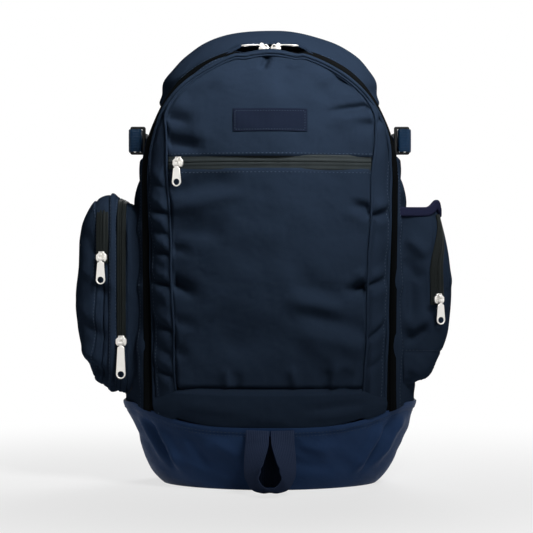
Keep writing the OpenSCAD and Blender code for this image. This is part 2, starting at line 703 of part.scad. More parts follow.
// Cord piping round the front panel seam
piping_r = 1.6;
piping_ahead = 0.64;
module lid_piping() {
    function place(t) = lid_point(t, 1, -piping_r - seam_gap) + [0, -piping_ahead, 0];
    function normal(d) = [d[2], 0, -d[0]] / norm([d[0], d[2]]);
    color([0.1, 0.13, 0.2]) sweep([for (i = [-44:44])
        let (t = i / 46, n = normal(place(t + fine / 2) - place(t - fine / 2)))
        [for (a = [0:60:300]) place(t) + piping_r * (cos(a) * n + [0, sin(a), 0])]]);
}

zip_low = front_zip_z - tape_w / 2;
zip_high = front_zip_z + tape_w / 2;
module front_panel_main()
    color([0.13, 0.18, 0.25]) front_panel(lower_panel_top + seam_gap, zip_low - seam_gap, 0, -wall);
module front_panel_upper()
    color([0.13, 0.18, 0.25]) front_panel(zip_high + seam_gap, front_top - wall - 2 * zip_gap, 0, -wall);
module front_zip_tape()
    color([0.13, 0.15, 0.15]) front_panel(zip_low, zip_high, -tape_t, -2 * tape_t - 0.2, 2);

// Lower panel: its foot follows the base seam
belly_low = 80;
module front_panel_lower() {
    function foot(x) = seam_z(-base_front * swell(abs(x) / base_half_w, front_round)) + 3 * zip_gap;
    function grid(d) = [for (r = steps(4)) [for (c = [-1:0.125:1])
        let (x = c * inner_x(seam_side_z), z = lerp(foot(x), lower_panel_top, r))
        [x, front_y(x, max(z, belly_low)) - d, z]]];
    color([0.13, 0.18, 0.25]) skin(grid(0), grid(-wall));
}

// Lining of the front pocket: sewn to the back of the front panel all round, slack in the middle
lining_slack = 9;
lining_t = 1.2;
lining_n = 4;
lining_low = 6;
lining_high = 4;
lining_side = 2;
module front_pocket_lining() {
    function place(c, r, d) =
        let (z = lerp(lower_panel_top + lining_low, zip_low - lining_high, r),
             x = c * (front_x(z) - wall - lining_side),
             slack = lining_slack * (1 - pow(abs(c), lining_n)) * (1 - pow(abs(2 * r - 1), lining_n)))
        [x, front_y(x, z) + wall + seam_gap + slack + d, z];
    function grid(d) = [for (r = steps(8)) [for (c = [-1:0.125:1]) place(c, r, d)]];
    color([0.2, 0.22, 0.26]) skin(grid(0), grid(lining_t));
}

// Patch for a label, left plain
patch_w = 79.6;
patch_h = 25;
patch_up = 32.2;
patch_low = front_zip_z + patch_up;
patch_high = patch_low + patch_h;
patch_lift = 0.1;
patch_t = 0.8;
module label_patch() {
    function grid(d) = [for (z = [patch_low, (patch_low + patch_high) / 2, patch_high])
        [for (c = [-1:0.25:1]) let (x = c * patch_w / 2) [x, front_y(x, z) - d, z]]];
    color([0.1, 0.14, 0.26]) skin(grid(patch_lift + patch_t), grid(patch_lift));
}

lid_tape_u = 0.24;
module lid_zip_tape() {
    function grid(d) =
        [for (u = [0, lid_tape_u / 2, lid_tape_u]) [for (t = arch_steps(14)) lid_point(t, u, -d)]];
    color([0.13, 0.14, 0.15]) skin(grid(tape_lift + tape_t), grid(tape_lift));
}

// The front zip bows forward, so its slider turns about an upright axis behind it
front_slider_x = 97.5;
front_bow = front_y(front_slider_x, front_zip_z) - front_y(0, front_zip_z);
front_arc_r = (pow(front_slider_x, 2) + pow(front_bow, 2)) / (2 * front_bow);
front_arc_y = front_y(0, front_zip_z) + front_arc_r;
front_turn = asin(front_slider_x / front_arc_r);
front_gap = 0.9;
front_slider_up = 1;
module on_front() translate([0, front_arc_y, front_zip_z]) rotate([0, 0, -front_turn])
    translate([0, tape_t - front_gap - front_arc_r, front_slider_up]) children();
module front_slider() on_front() slider();
module front_pull() on_front() pull(pull_len);

// Main zip sliders stand on the top of the zip line and turn about the middle of its top arc
top_arc_r = 165;
main_slider_y = -zip_depth - zip_gap - 1.9;
main_slider_turn = 2.2;
main_gap = 1;
module on_top(s) translate([0, main_slider_y, zip_top - top_arc_r]) rotate([0, s * main_slider_turn, 0])
    translate([0, 0, top_arc_r + tape_lift + tape_t + main_gap]) rotate([0, 0, s * 90]) rotate([-90, 0, 0])
        children();
module main_slider_right() on_top(1) slider();
module main_pull_right() on_top(1) pull(pull_len - 2);
module main_slider_left() on_top(-1) slider();
module main_pull_left() on_top(-1) pull(pull_len - 2);

main_gusset();
back_panel();
back_pad_upper();
back_pad_left();
back_pad_right();
base_boot();
base_board();
inner_sleeve();
main_zip_tape();
shoulder_strap_left();
shoulder_strap_right();
strap_webbing_left();
strap_webbing_right();
ladder_lock_left();
ladder_lock_right();
haul_anchor();
haul_loop();
bottom_loop();
side_strap_left();
side_strap_right();
side_lock_left();
side_lock_right();
left_pocket();
left_outer_tape();
left_inner_tape();
left_outer_slider();
left_outer_pull();
left_inner_slider();
left_inner_pull();
right_pocket();
right_binding();
right_tape();
right_slider();
right_pull();
lid_gusset();
lid_piping();
front_panel_upper();
front_panel_main();
front_panel_lower();
front_pocket_lining();
label_patch();
front_zip_tape();
lid_zip_tape();
front_slider();
front_pull();
main_slider_left();
main_pull_left();
main_slider_right();
main_pull_right();
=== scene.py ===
"""Racket backpack: cloth, webbing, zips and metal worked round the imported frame.

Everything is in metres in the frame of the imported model: +Z is up and the front of the bag faces -Y.
"""
import logging
import math
from dataclasses import dataclass, field
from enum import Enum
from typing import Callable, NamedTuple, Optional, Sequence, Union

import bpy
import numpy as np
from mathutils import Matrix, Vector


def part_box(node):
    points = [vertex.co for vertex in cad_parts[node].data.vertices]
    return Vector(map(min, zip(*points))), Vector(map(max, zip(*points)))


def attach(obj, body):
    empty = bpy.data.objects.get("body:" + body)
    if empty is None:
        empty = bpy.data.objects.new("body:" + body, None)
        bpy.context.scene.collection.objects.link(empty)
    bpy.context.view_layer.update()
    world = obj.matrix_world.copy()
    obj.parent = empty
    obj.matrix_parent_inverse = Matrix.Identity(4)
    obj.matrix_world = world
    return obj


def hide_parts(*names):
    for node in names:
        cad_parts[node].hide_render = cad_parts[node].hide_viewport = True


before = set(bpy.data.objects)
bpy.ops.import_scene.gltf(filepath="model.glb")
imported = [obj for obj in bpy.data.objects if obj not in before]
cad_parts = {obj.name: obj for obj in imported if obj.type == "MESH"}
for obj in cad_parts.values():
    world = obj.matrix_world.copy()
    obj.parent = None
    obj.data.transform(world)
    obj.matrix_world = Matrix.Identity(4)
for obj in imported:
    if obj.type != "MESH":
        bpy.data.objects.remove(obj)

Array = np.ndarray
Pair = tuple[float, float]
Triple = tuple[float, float, float]
Socket = bpy.types.NodeSocket
LOG = logging.getLogger("bag")
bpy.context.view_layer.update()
MM = 0.001
CORE = (0.0, 0.02, 0.25)
BEHIND = (0.0, 0.2, 0.25)
RIGHT_ANGLE = math.pi / 2
ACROSS = np.array([1.0, 0.0, 0.0])
UP = np.array([0.0, 0.0, 1.0])


# --- small maths
def lerp(a: Array, b: Array, t: Array) -> Array:
    """Value a share t of the way from a to b."""
    return a + (b - a) * t


def smooth(t: Array) -> Array:
    """Share t held between 0 and 1 and eased at both ends, 3t^2 - 2t^3."""
    c = np.clip(t, 0.0, 1.0)
    return c * c * (3.0 - 2.0 * c)


def past(d: Array, start: Array, width: float) -> Array:
    """Eased share of a width by which d is past the start, smooth((d - start) / width)."""
    return smooth((d - start) / width)


def bell(d: Array, w: float) -> Array:
    """Bell of half width w at distance d, exp(-(d/w)^2)."""
    return np.exp(-((d / w) ** 2))


def bells(d: Array, rows: Sequence[Triple]) -> Array:
    """Sum of bells at d, from rows of height, place and half width."""
    return sum(high * bell(d - at, wide) for high, at, wide in rows)


def dapple(a: Array, b: Array, pitch: float, seed: int) -> Array:
    """Smooth random height between -1 and 1.

    Random numbers on a square lattice of that pitch, blended between its corners with smooth().

    Args:
        a: first plane coordinate.
        b: second plane coordinate.
        pitch: lattice spacing in metres.
        seed: seed of the random numbers.

    Returns:
        One height for each point.
    """
    table = np.random.default_rng(seed).uniform(-1.0, 1.0, (64, 64))
    i, j = np.broadcast_arrays(a / pitch, b / pitch)
    i0, j0 = np.floor(i).astype(int), np.floor(j).astype(int)
    f, g = smooth(i - i0), smooth(j - j0)

    def at(p: Array, q: Array) -> Array:
        """Random number of a lattice corner."""
        return table[p % 64, q % 64]

    return lerp(lerp(at(i0, j0), at(i0 + 1, j0), f), lerp(at(i0, j0 + 1), at(i0 + 1, j0 + 1), f), g)


def xyz(x: Array, y: Array, z: Array) -> Array:
    """Points from their three coordinates, spread out to one shape."""
    return np.stack(np.broadcast_arrays(x, y, z), axis=-1)


def rounded(a: Array, n: Array) -> tuple[Array, Array]:
    """Superellipse of power n and half width one at turn a: (cos, sin) / (|cos|^n + |sin|^n)^(1/n)."""
    cos, sin = np.cos(a), np.sin(a)
    k = (np.abs(cos) ** n + np.abs(sin) ** n) ** (-1 / n)
    return k * cos, k * sin


def unit(v: Array) -> Array:
    """Vectors scaled to length one along the last axis."""
    return v / np.maximum(np.linalg.norm(v, axis=-1, keepdims=True), 1e-12)


def grid_normals(points: Array, away: Triple = CORE, wrap: bool = False) -> Array:
    """Unit normals of a grid of points.

    The cross product of the differences along rows and columns, turned as a whole away from a point inside.

    Args:
        points: grid of shape (rows, columns, 3).
        away: point that the normals turn away from.
        wrap: True if the last column meets the first.

    Returns:
        Normals of the same shape as points.
    """
    if wrap:
        du = np.roll(points, -1, axis=1) - np.roll(points, 1, axis=1)
    else:
        du = np.gradient(points, axis=1)
    n = unit(np.cross(du, np.gradient(points, axis=0)))
    return n if np.sum(n * (points - np.array(away))) > 0 else -n


def along(path: Array) -> Array:
    """Distance of each point of a path from its start."""
    return np.concatenate([[0.0], np.cumsum(np.linalg.norm(np.diff(path, axis=0), axis=1))])


def even_rows(points: Array, count: int) -> Array:
    """Each row of a grid set out again in count points at equal steps along its length."""
    out = np.empty((len(points), count, 3))
    for r, row in enumerate(points):
        run = along(row)
        want = np.linspace(0.0, run[-1], count)
        out[r] = np.stack([np.interp(want, run, row[:, k]) for k in range(3)], axis=1)
    return out


def resample(path: Array, count: int) -> Array:
    """Path set out in count points at equal steps."""
    return even_rows(path[None], count)[0]


def soften(path: Array, times: int) -> Array:
    """Path whose inner points are made (a + 2b + c) / 4 of themselves and their neighbours, several times."""
    for _ in range(times):
        path[1:-1] = (path[:-2] + 2 * path[1:-1] + path[2:]) / 4
    return path


def move(x: float, y: float, z: float) -> Matrix:
    """Matrix that moves by three lengths."""
    return Matrix.Translation((x, y, z))


def spin(angle: float, axis: str) -> Matrix:
    """Matrix that turns by an angle about an axis through the origin."""
    return Matrix.Rotation(angle, 4, axis)


def corners(name: str) -> tuple[Array, Array]:
    """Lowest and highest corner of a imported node's box."""
    low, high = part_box(name)
    return np.array(low), np.array(high)


def read(part: bpy.types.bpy_prop_collection, key: str, width: int, kind: type = np.float32) -> Array:
    """Values of a mesh's points, corners or faces, in rows of that width."""
    out = np.empty(len(part) * width, dtype=kind)
    part.foreach_get(key, out)
    return out.reshape(-1, width)


@dataclass(frozen=True)
class Fold:
    """Ridge or crease on a panel, along a line in one of the panel's planes.

    Attributes:
        a: start of the line.
        b: end of the line.
        width: half width of the ridge.
        height: its height, negative for a crease.
        lean: how many times wider the ridge is on its left side.
    """

    a: Pair
    b: Pair
    width: float
    height: float
    lean: float = 1.0

    def lift(self, p: Array, q: Array) -> Array:
        """Height at plane points: a bell across the line that fades out at both ends."""
        dx, dy = self.b[0] - self.a[0], self.b[1] - self.a[1]
        size = math.hypot(dx, dy)
        s = ((p - self.a[0]) * dx + (q - self.a[1]) * dy) / size**2
        off = ((p - self.a[0]) * dy - (q - self.a[1]) * dx) / size
        w = np.where(off > 0, self.width, self.width * self.lean)
        return self.height * np.exp(-((off / w) ** 2)) * smooth((s + 0.15) / 0.45) * past(1.15, s, 0.45)


def folds(*rows: tuple[int, ...]) -> tuple[Fold, ...]:
    """Folds from rows of both ends, half width and height in 0.1 mm, and the lean in tenths."""
    return tuple(Fold((r[0] / 1e4, r[1] / 1e4), (r[2] / 1e4, r[3] / 1e4), r[4] / 1e4, r[5] / 1e4, r[6] / 10)
                 for r in rows)


def folded(made: Sequence[Fold], p: Array, q: Array) -> Array:
    """Sum of the heights of several folds at plane points."""
    return sum((f.lift(p, q) for f in made), np.zeros(np.broadcast(p, q).shape))


# --- finishes
class Thread(Enum):
    """Ways in which a cloth's threads run."""

    TWILL = "twill"
    PLAIN = "plain"
    RIB = "rib"
    MESH = "mesh"


class Graph:
    """Node tree of one material or of the world, with short calls for the nodes that are used."""

    def __init__(self, name: str, world: bool = False) -> None:
        """Starts a material, or a world, with its first shader."""
        self.owner = (bpy.data.worlds if world else bpy.data.materials).new(name)
        self.owner.use_nodes = True
        self.tree = self.owner.node_tree
        self.shader = self.tree.nodes["Background" if world else "Principled BSDF"]

    def add(self, kind: str, **values: object) -> bpy.types.Node:
        """New node of that kind, with its properties set."""
        node = self.tree.nodes.new(kind)
        for key, value in values.items():
            setattr(node, key, value)
        return node

    def link(self, out: Socket, into: Socket) -> None:
        """Joins one socket to another."""
        self.tree.links.new(out, into)

    def math(self, kind: str, a: object, b: object = 0.0) -> Socket:
        """Output of a Math node whose inputs are sockets or numbers."""
        node = self.add("ShaderNodeMath", operation=kind)
        for socket, value in zip(node.inputs, (a, b)):
            if isinstance(value, (int, float)):
                socket.default_value = value
            else:
                self.link(value, socket)
        return node.outputs[0]

    def add_up(self, a: object, b: object) -> Socket:
        """Sum of two sockets or numbers."""
        return self.math("ADD", a, b)

    def times(self, a: object, b: object) -> Socket:
        """Product of two sockets or numbers."""
        return self.math("MULTIPLY", a, b)

    def wave(self, value: Socket, pitch: float) -> Socket:
        """Sine of a length with that pitch."""
        return self.math("SINE", self.times(value, 2 * math.pi / pitch))

    def cloth(self) -> tuple[Socket, Socket, Socket]:
        """The piece's own cloth coordinates, in metres: both lengths, and the two together."""
        place = self.add("ShaderNodeUVMap", uv_map="cloth").outputs[0]
        split = self.add("ShaderNodeSeparateXYZ")
        self.link(place, split.inputs[0])
        return split.outputs[0], split.outputs[1], place

    def solid(self) -> Socket:
        """The piece's own coordinates in space, in metres."""
        return self.add("ShaderNodeTexCoord").outputs["Object"]

    def noise(self, place: Socket, scale: float, detail: float = 2.0) -> Socket:
        """Height of a noise texture at that place."""
        node = self.add("ShaderNodeTexNoise")
        node.inputs["Scale"].default_value = scale
        node.inputs["Detail"].default_value = detail
        self.link(place, node.inputs["Vector"])
        return node.outputs[0]

    def remap(self, value: Socket, start: Pair, end: Pair, kind: str = "LINEAR") -> Socket:
        """Value carried from one range to another."""
        node = self.add("ShaderNodeMapRange", interpolation_type=kind)
        for key, number in zip(("From Min", "From Max", "To Min", "To Max"), (*start, *end)):
            node.inputs[key].default_value = number
        self.link(value, node.inputs["Value"])
        return node.outputs[0]

    def seen(self) -> Socket:
        """One for rays from the camera, off shiny faces and through clear ones, and nought for the rest."""
        rays = self.add("ShaderNodeLightPath").outputs
        other = self.math("MAXIMUM", rays["Is Glossy Ray"], rays["Is Transmission Ray"])
        return self.math("MAXIMUM", rays["Is Camera Ray"], other)

    def tint(self, factor: Socket, colour: Triple, low: float, high: float) -> None:
        """Sets the base colour: the colour times low where the factor is 0, and times high where it is 1."""
        node = self.add("ShaderNodeMix", data_type="RGBA")
        self.link(factor, node.inputs["Factor"])
        for socket, share in ((node.inputs[6], low), (node.inputs[7], high)):
            socket.default_value = (*(c * share for c in colour), 1.0)
        self.link(node.outputs[2], self.shader.inputs["Base Color"])

    def bump(self, height: Socket, distance: float, below: Optional[Socket] = None) -> Socket:
        """Normal bent by a height of that distance in metres, over another normal if one is given."""
        node = self.add("ShaderNodeBump")
        node.inputs["Strength"].default_value = 1.0
        node.inputs["Distance"].default_value = distance
        self.link(height, node.inputs["Height"])
        if below is not None:
            self.link(below, node.inputs["Normal"])
        return node.outputs[0]

    def bend(self, height: Socket, distance: float, below: Optional[Socket] = None) -> None:
        """Sets the shader's normal to such a bent one."""
        self.link(self.bump(height, distance, below), self.shader.inputs["Normal"])

    def dull(self, wear: Socket, share: float, base: float) -> None:
        """Sets the roughness: a base, and a share of the wear on top."""
        level = self.add_up(self.times(wear, share), base)
        self.link(level, self.shader.inputs["Roughness"])

    def plain(self, **values: object) -> None:
        """Sets numbers and colours on the shader's own sockets, by socket name with _ for a space."""
        for key, value in values.items():
            self.shader.inputs[key.replace("_", " ")].default_value = value


@dataclass(frozen=True)
class Weave:
    """Woven cloth whose threads, lint and slow unevenness come from its own cloth coordinates.

    Attributes:
        name: material name.
        colour: thread colour, linear.
        pitch: distance between threads.
        thread: how the threads run.
        rough: roughness.
        gloss: specular level.
        relief: height of the threads.
        crush: height of the slow unevenness.
        mottle: how much the colour varies.
    """

    name: str
    colour: Triple
    pitch: float = 0.0006
    thread: Thread = Thread.TWILL
    rough: float = 0.75
    gloss: float = 0.0
    relief: float = 0.00005
    crush: float = 0.0007
    mottle: float = 0.24

    def height(self, g: Graph, u: Socket, v: Socket) -> Socket:
        """Height of the threads: waves along and across the cloth, joined as that weave joins them."""
        warp = g.wave(u, self.pitch)
        if self.thread is Thread.RIB:
            ribs = g.math("ABSOLUTE", g.wave(v, self.pitch * 2.0))
            return g.add_up(ribs, g.times(g.wave(u, self.pitch * 1.6), 0.5))
        if self.thread is Thread.MESH:
            return g.math("MINIMUM", g.add_up(warp, g.wave(v, self.pitch * 0.8)), 0.3)
        grain = g.times(warp, g.wave(v, self.pitch))
        if self.thread is Thread.PLAIN:
            return grain
        return g.add_up(g.wave(g.add_up(u, v), self.pitch * 1.4), g.times(grain, 0.6))

    def build(self) -> bpy.types.Material:
        """Material of the cloth: thread relief, lint in the colour and slow unevenness in the normal."""
        g = Graph(self.name)
        u, v, place = g.cloth()
        lint, slow = g.noise(place, 900.0, 3.0), g.noise(place, 22.0, 3.0)
        tone = g.add_up(g.times(lint, 0.6), g.times(slow, 0.4))
        g.tint(tone, self.colour, 1 - self.mottle, 1 + self.mottle)
        lay = g.bump(g.noise(place, 75.0), self.crush, g.bump(slow, self.crush * 4.0))
        g.bend(self.height(g, u, v), self.relief, lay)
        g.dull(lint, 0.12, self.rough - 0.06)
        g.plain(Specular_IOR_Level=self.gloss)
        return g.owner


@dataclass(frozen=True)
class CoatedTape:
    """Rubbery coated zip tape: faint ribs of the coil under the film and a fine scuffed grain."""

    name: str
    colour: Triple
    rib: float = 0.0013
    gloss: float = 0.06

    def build(self) -> bpy.types.Material:
        """Material of the tape: cross ribs near the middle, grain, and a soft shine."""
        g = Graph(self.name)
        u, v, place = g.cloth()
        off = g.times(g.math("ABSOLUTE", v), 260.0)
        ribs = g.times(g.wave(u, self.rib), g.math("MAXIMUM", g.math("SUBTRACT", 1.0, off), 0.0))
        wear = g.noise(place, 60.0, 3.0)
        g.tint(wear, self.colour, 0.75, 1.3)
        g.bend(ribs, 0.00012, g.bump(g.noise(place, 1400.0, 3.0), 0.00008))
        g.dull(wear, 0.2, 0.42)
        g.plain(Specular_IOR_Level=self.gloss)
        return g.owner


@dataclass(frozen=True)
class CastMetal:
    """Tumbled, lightly scratched zinc with a nickel skin."""

    name: str
    colour: Triple

    def build(self) -> bpy.types.Material:
        """Material of the metal: uneven shine from noise, with faint tumbling dents."""
        g = Graph(self.name)
        place = g.solid()
        wear = g.noise(place, 160.0)
        g.tint(wear, self.colour, 0.86, 1.0)
        g.bend(g.noise(place, 500.0, 3.0), 0.00006)
        g.dull(wear, 0.22, 0.3)
        g.plain(Metallic=0.9)
        return g.owner


@dataclass(frozen=True)
class Moulded:
    """Injection-moulded plastic or board with a fine spark-eroded grain."""

    name: str
    colour: Triple
    rough: float = 0.4

    def build(self) -> bpy.types.Material:
        """Material of the plastic: fine grain and a slightly uneven shine."""
        g = Graph(self.name)
        place = g.solid()
        wear = g.noise(place, 90.0, 3.0)
        g.tint(wear, self.colour, 0.8, 1.25)
        g.bend(g.noise(place, 1800.0), 0.00005)
        g.dull(wear, 0.2, self.rough - 0.1)
        g.plain(Specular_IOR_Level=0.15)
        return g.owner


Finish = Union[Weave, CoatedTape, CastMetal, Moulded]


@dataclass
class Wardrobe:
    """Every finish of the bag, made once and handed to the sub-assemblies."""

    twill: Finish = Weave("navy_twill", (0.0215, 0.035, 0.061), pitch=0.0007)
    boot: Finish = Weave("base_nylon", (0.03, 0.065, 0.16), pitch=0.0004, thread=Thread.PLAIN, rough=0.45,
                         gloss=0.03, crush=0.0004, relief=0.00003)
    back: Finish = Weave("back_cloth", (0.012, 0.018, 0.028), pitch=0.0008, thread=Thread.PLAIN, rough=0.8)
    mesh: Finish = Weave("spacer_mesh", (0.01, 0.013, 0.019), pitch=0.003, thread=Thread.MESH, rough=0.85,
                         relief=0.0006, crush=0.0001)
    lining: Finish = Weave("lining_cloth", (0.05, 0.056, 0.068), pitch=0.0003, thread=Thread.PLAIN, rough=0.6)
    webbing: Finish = Weave("loop_webbing", (0.044, 0.064, 0.125), pitch=0.0012, thread=Thread.RIB,
                            relief=0.00022, crush=0.0001)
    strap: Finish = Weave("strap_webbing", (0.012, 0.02, 0.04), pitch=0.0012, thread=Thread.RIB, rough=0.6,
                          relief=0.00022, crush=0.0001)
    side: Finish = Weave("side_webbing", (0.005, 0.023, 0.056), pitch=0.0011, thread=Thread.RIB, rough=0.35,
                         relief=0.00018, crush=0.0001, gloss=0.08)
    binding: Finish = Weave("binding_tape", (0.021, 0.024, 0.056), pitch=0.0008, thread=Thread.RIB,
                            relief=0.0001, crush=0.0001)
    patch: Finish = Weave("woven_patch", (0.0135, 0.0195, 0.038), pitch=0.0008, thread=Thread.RIB,
                          relief=0.0001, crush=0.0001)
    thread: Finish = Weave("sewing_thread", (0.08, 0.112, 0.165), pitch=0.0005)
    tape: Finish = CoatedTape("coated_tape", (0.03, 0.037, 0.039))
    # Black tape of the main zip, made near black so that its colour also paints the shade in the zip's recess.
    black_tape_and_shade: Finish = CoatedTape("black_tape_and_shade", (0.0016, 0.0021, 0.0024), gloss=0.02)
    # Coated tape of the side pockets: the same tape made darker, the extra darkness painted shade of the
    # pockets' sides.
    pocket_tape_and_shade: Finish = CoatedTape("pocket_tape_and_shade", (0.012, 0.015, 0.015))
    metal: Finish = CastMetal("nickel", (0.86, 0.84, 0.8))
    plastic: Finish = Moulded("black_acetal", (0.01, 0.011, 0.012), rough=0.35)
    board: Finish = Moulded("stiffener_board", (0.02, 0.02, 0.022), rough=0.6)
    made: dict = field(default_factory=dict)

    def get(self, name: str) -> bpy.types.Material:
        """Material of the named finish, built on first use."""
        if name not in self.made:
            self.made[name] = getattr(self, name).build()
        return self.made[name]


WARDROBE = Wardrobe()


# --- meshes
def cloth_map(points: Array) -> Array:
    """Cloth coordinates of a grid: length along each row from its middle, and mean length down."""
    steps = np.linalg.norm(np.diff(points, axis=1), axis=2)
    u = np.concatenate([np.zeros((len(points), 1)), np.cumsum(steps, axis=1)], axis=1)
    v = np.concatenate([[0.0], np.cumsum(np.linalg.norm(np.diff(points, axis=0), axis=2).mean(axis=1))])
    return np.stack([u - u[:, -1:] / 2, np.broadcast_to(v[:, None], u.shape)], axis=2)


class Piece:
    """One visible piece: grids gathered as whole arrays and written as one mesh."""

    sharp_degrees = 50.0

    def __init__(self, name: str) -> None:
        """Starts an empty piece of that name."""
        self.name = name
        self.points: list[Array] = []
        self.faces: list[tuple[Array, Array, int]] = []
        self.count = 0

    def _points(self, points: Array) -> int:
        """Adds points and returns the number of the first."""
        base = self.count
        self.points.append(points.reshape(-1, 3))
        self.count += points.size // 3
        return base

    @staticmethod
    def _cells(rows: int, cols: int, wrap: bool, flat: Array) -> tuple[Array, Array]:
        """Four corners of each cell of a grid, as point numbers and as cloth coordinates."""
        r, c = np.meshgrid(np.arange(rows - 1), np.arange(cols if wrap else cols - 1), indexing="ij")
        corners = [(r, c), (r, c + 1), (r + 1, c + 1), (r + 1, c)]
        index = np.stack([i * cols + j % cols for i, j in corners], axis=-1).reshape(-1, 4)
        place = np.stack([flat[i, j] for i, j in corners], axis=2).reshape(-1, 4, 2)
        return index, place

    @staticmethod
    def _fan(line: Array, spots: Array, head: int) -> tuple[Array, Array]:
        """Triangles from a line of points to a head, with their cloth coordinates."""
        tri = np.stack([line[:-1], line[1:], np.full(len(line) - 1, head)], axis=1)
        mid = np.broadcast_to(spots.mean(axis=0), (len(tri), 2))
        return tri, np.stack([spots[:-1], spots[1:], mid], axis=1)

    def shell(self, outer: Array, inner: Array, wrap: bool = False, tip: bool = False, lined: int = 0,
              flat: Optional[Array] = None) -> "Piece":
        """Adds a closed shell between two grids of one size.

        The grids are joined along their open edges. With tip set, the last ring of each closes in its middle.

        Args:
            outer: outer grid of shape (rows, columns, 3).
            inner: inner grid of the same shape.
            wrap: True if the columns run right round.
            tip: True if the last row is a ring that closes to a point.
            lined: number of the material on the inner side.
            flat: cloth coordinates, or None to work them out.

        Returns:
            This piece.
        """
        rows, cols = outer.shape[:2]
        if flat is None:
            flat = cloth_map(np.concatenate([outer, outer[:, :1]], axis=1) if wrap else outer)
        base, size = self._points(np.concatenate([outer.reshape(-1, 3), inner.reshape(-1, 3)])), rows * cols
        index, place = self._cells(rows, cols, wrap, flat)
        found = [(index, place, 0), (index[:, ::-1] + size, place[:, ::-1], lined)]

        def edge(line: Array, spots: Array, back: bool) -> None:
            """Closes one open edge between the two grids."""
            quad = np.stack([line[:-1] + size, line[1:] + size, line[1:], line[:-1]], axis=1)
            spot = np.stack([spots[:-1], spots[1:], spots[1:], spots[:-1]], axis=1)
            found.append((quad[:, ::-1] if back else quad, spot[:, ::-1] if back else spot, 0))

        ring = np.arange(cols + 1) % cols if wrap else np.arange(cols)
        last = ring + (rows - 1) * cols
        spots = flat[:, : len(ring)]
        edge(ring, spots[0], False)
        if not tip:
            edge(last, spots[-1], True)
        if not wrap:
            edge(np.arange(rows) * cols, flat[:, 0], True)
            edge(np.arange(rows) * cols + cols - 1, flat[:, -1], False)
        if tip:
            heads = self._points(np.stack([outer[-1].mean(axis=0), inner[-1].mean(axis=0)])) - base
            tri, spot = self._fan(last, spots[-1], heads)
            low = self._fan(last[::-1] + size, spots[-1], heads + 1)[0][::-1]
            found += [(tri, spot, 0), (low, spot, lined)]
        return self._outward(base, found)

    def sweep(self, rings: Array, flat: Optional[Array] = None, loop: bool = False) -> "Piece":
        """Adds a solid swept through rings, with its ends closed by fans unless it is a loop.

        Args:
            rings: points of shape (rings, points of a ring, 3).
            flat: cloth coordinates of shape (rings, points + 1, 2), or None to work them out.
            loop: True if the last ring meets the first.

        Returns:
            This piece.
        """
        rows, cols = rings.shape[:2]
        if flat is None:
            flat = cloth_map(np.concatenate([rings, rings[:, :1]], axis=1))
        base = self._points(rings)
        index, place = self._cells(rows, cols, True, flat)
        found = [(index, place, 0)]
        ring = np.arange(cols + 1) % cols
        if loop:
            last = ring + (rows - 1) * cols
            found.append((np.stack([last[:-1], last[1:], ring[1:], ring[:-1]], axis=1),
                          np.stack([flat[-1, :-1], flat[-1, 1:], flat[-1, 1:], flat[-1, :-1]], axis=1), 0))
        else:
            heads = self._points(np.stack([rings[0].mean(axis=0), rings[-1].mean(axis=0)])) - base
            tri, spot = self._fan(ring, flat[0], heads)
            found.append((tri[:, ::-1], spot[:, ::-1], 0))
            found.append((*self._fan(ring + (rows - 1) * cols, flat[-1], heads + 1), 0))
        return self._outward(base, found)

    def _outward(self, base: int, found: list) -> "Piece":
        """Adds faces, all turned over if their signed volume is negative."""
        pts = np.concatenate(self.points)
        total = 0.0
        for index, _, _ in found:
            p = pts[index + base]
            for k in range(1, index.shape[1] - 1):
                total += np.einsum("ij,ij->", p[:, 0], np.cross(p[:, k], p[:, k + 1]))
        for index, place, mark in found:
            if total < 0:
                index, place = index[:, ::-1], place[:, ::-1]
            self.faces.append((index + base, place, mark))
        return self

    def cloth(self, p: Array, n: Array, thick: float, **ends: bool) -> "Piece":
        """Adds a lined cloth of that thickness inside a grid with those normals."""
        return self.shell(p, p - n * thick, lined=1, **ends)

    def webbing(self, path: Array, across: Array, width: float, thick: float) -> "Piece":
        """Adds a webbing along a path, as ribbon() shapes it."""
        return self.sweep(*ribbon(path, across, width, thick))

    def stitches(self, path: Array, normal: Array, length: float = 0.0026, gap: float = 0.0012,
                 r: float = 0.00032, rise: float = 0.0001) -> "Piece":
        """Adds a row of stitches along a path: pointed spindles of four sides, half sunk in the cloth.

        Args:
            path: points along the row.
            normal: outward normal at each point.
            length: length of a stitch.
            gap: gap between stitches.
            r: half thickness of the thread.
            rise: height of the row over the path.

        Returns:
            This piece.
        """
        path = path + normal * rise
        run = along(path)
        count = max(1, int(run[-1] / (length + gap)))
        start = (np.arange(count) + 0.5) * run[-1] / count

        def at(s: Array, source: Array) -> Array:
            """Path or normal at those distances."""
            return np.stack([np.interp(s, run, source[:, k]) for k in range(3)], axis=1)

        a, m, b = at(start - length / 2, path), at(start, path), at(start + length / 2, path)
        n = unit(at(start, normal))
        side = unit(np.cross(b - a, n))
        spindle = np.stack([a, m + n * r, m + side * r, m - n * r * 0.4, m - side * r, b], axis=1)
        base = self._points(spindle)
        tri = np.reshape((0, 2, 1, 0, 3, 2, 0, 4, 3, 0, 1, 4, 5, 1, 2, 5, 2, 3, 5, 3, 4, 5, 4, 1), (1, 8, 3))
        index = (np.arange(count)[:, None, None] * 6 + tri).reshape(-1, 3)
        return self._outward(base, [(index, np.zeros((len(index), 3, 2)), 0)])

    def borrow(self, source: bpy.types.Object, place: Matrix) -> "Piece":
        """Adds another object's faces, moved by a matrix, and removes that object."""
        mesh, m = source.data, np.array(place)
        mesh.calc_loop_triangles()
        base = self._points(read(mesh.vertices, "co", 3, np.float64) @ m[:3, :3].T + m[:3, 3])
        tri = read(mesh.loop_triangles, "vertices", 3, np.int32).astype(np.int64)
        self._outward(base, [(tri, np.zeros((len(tri), 3, 2)), 0)])
        bpy.data.objects.remove(source)
        return self

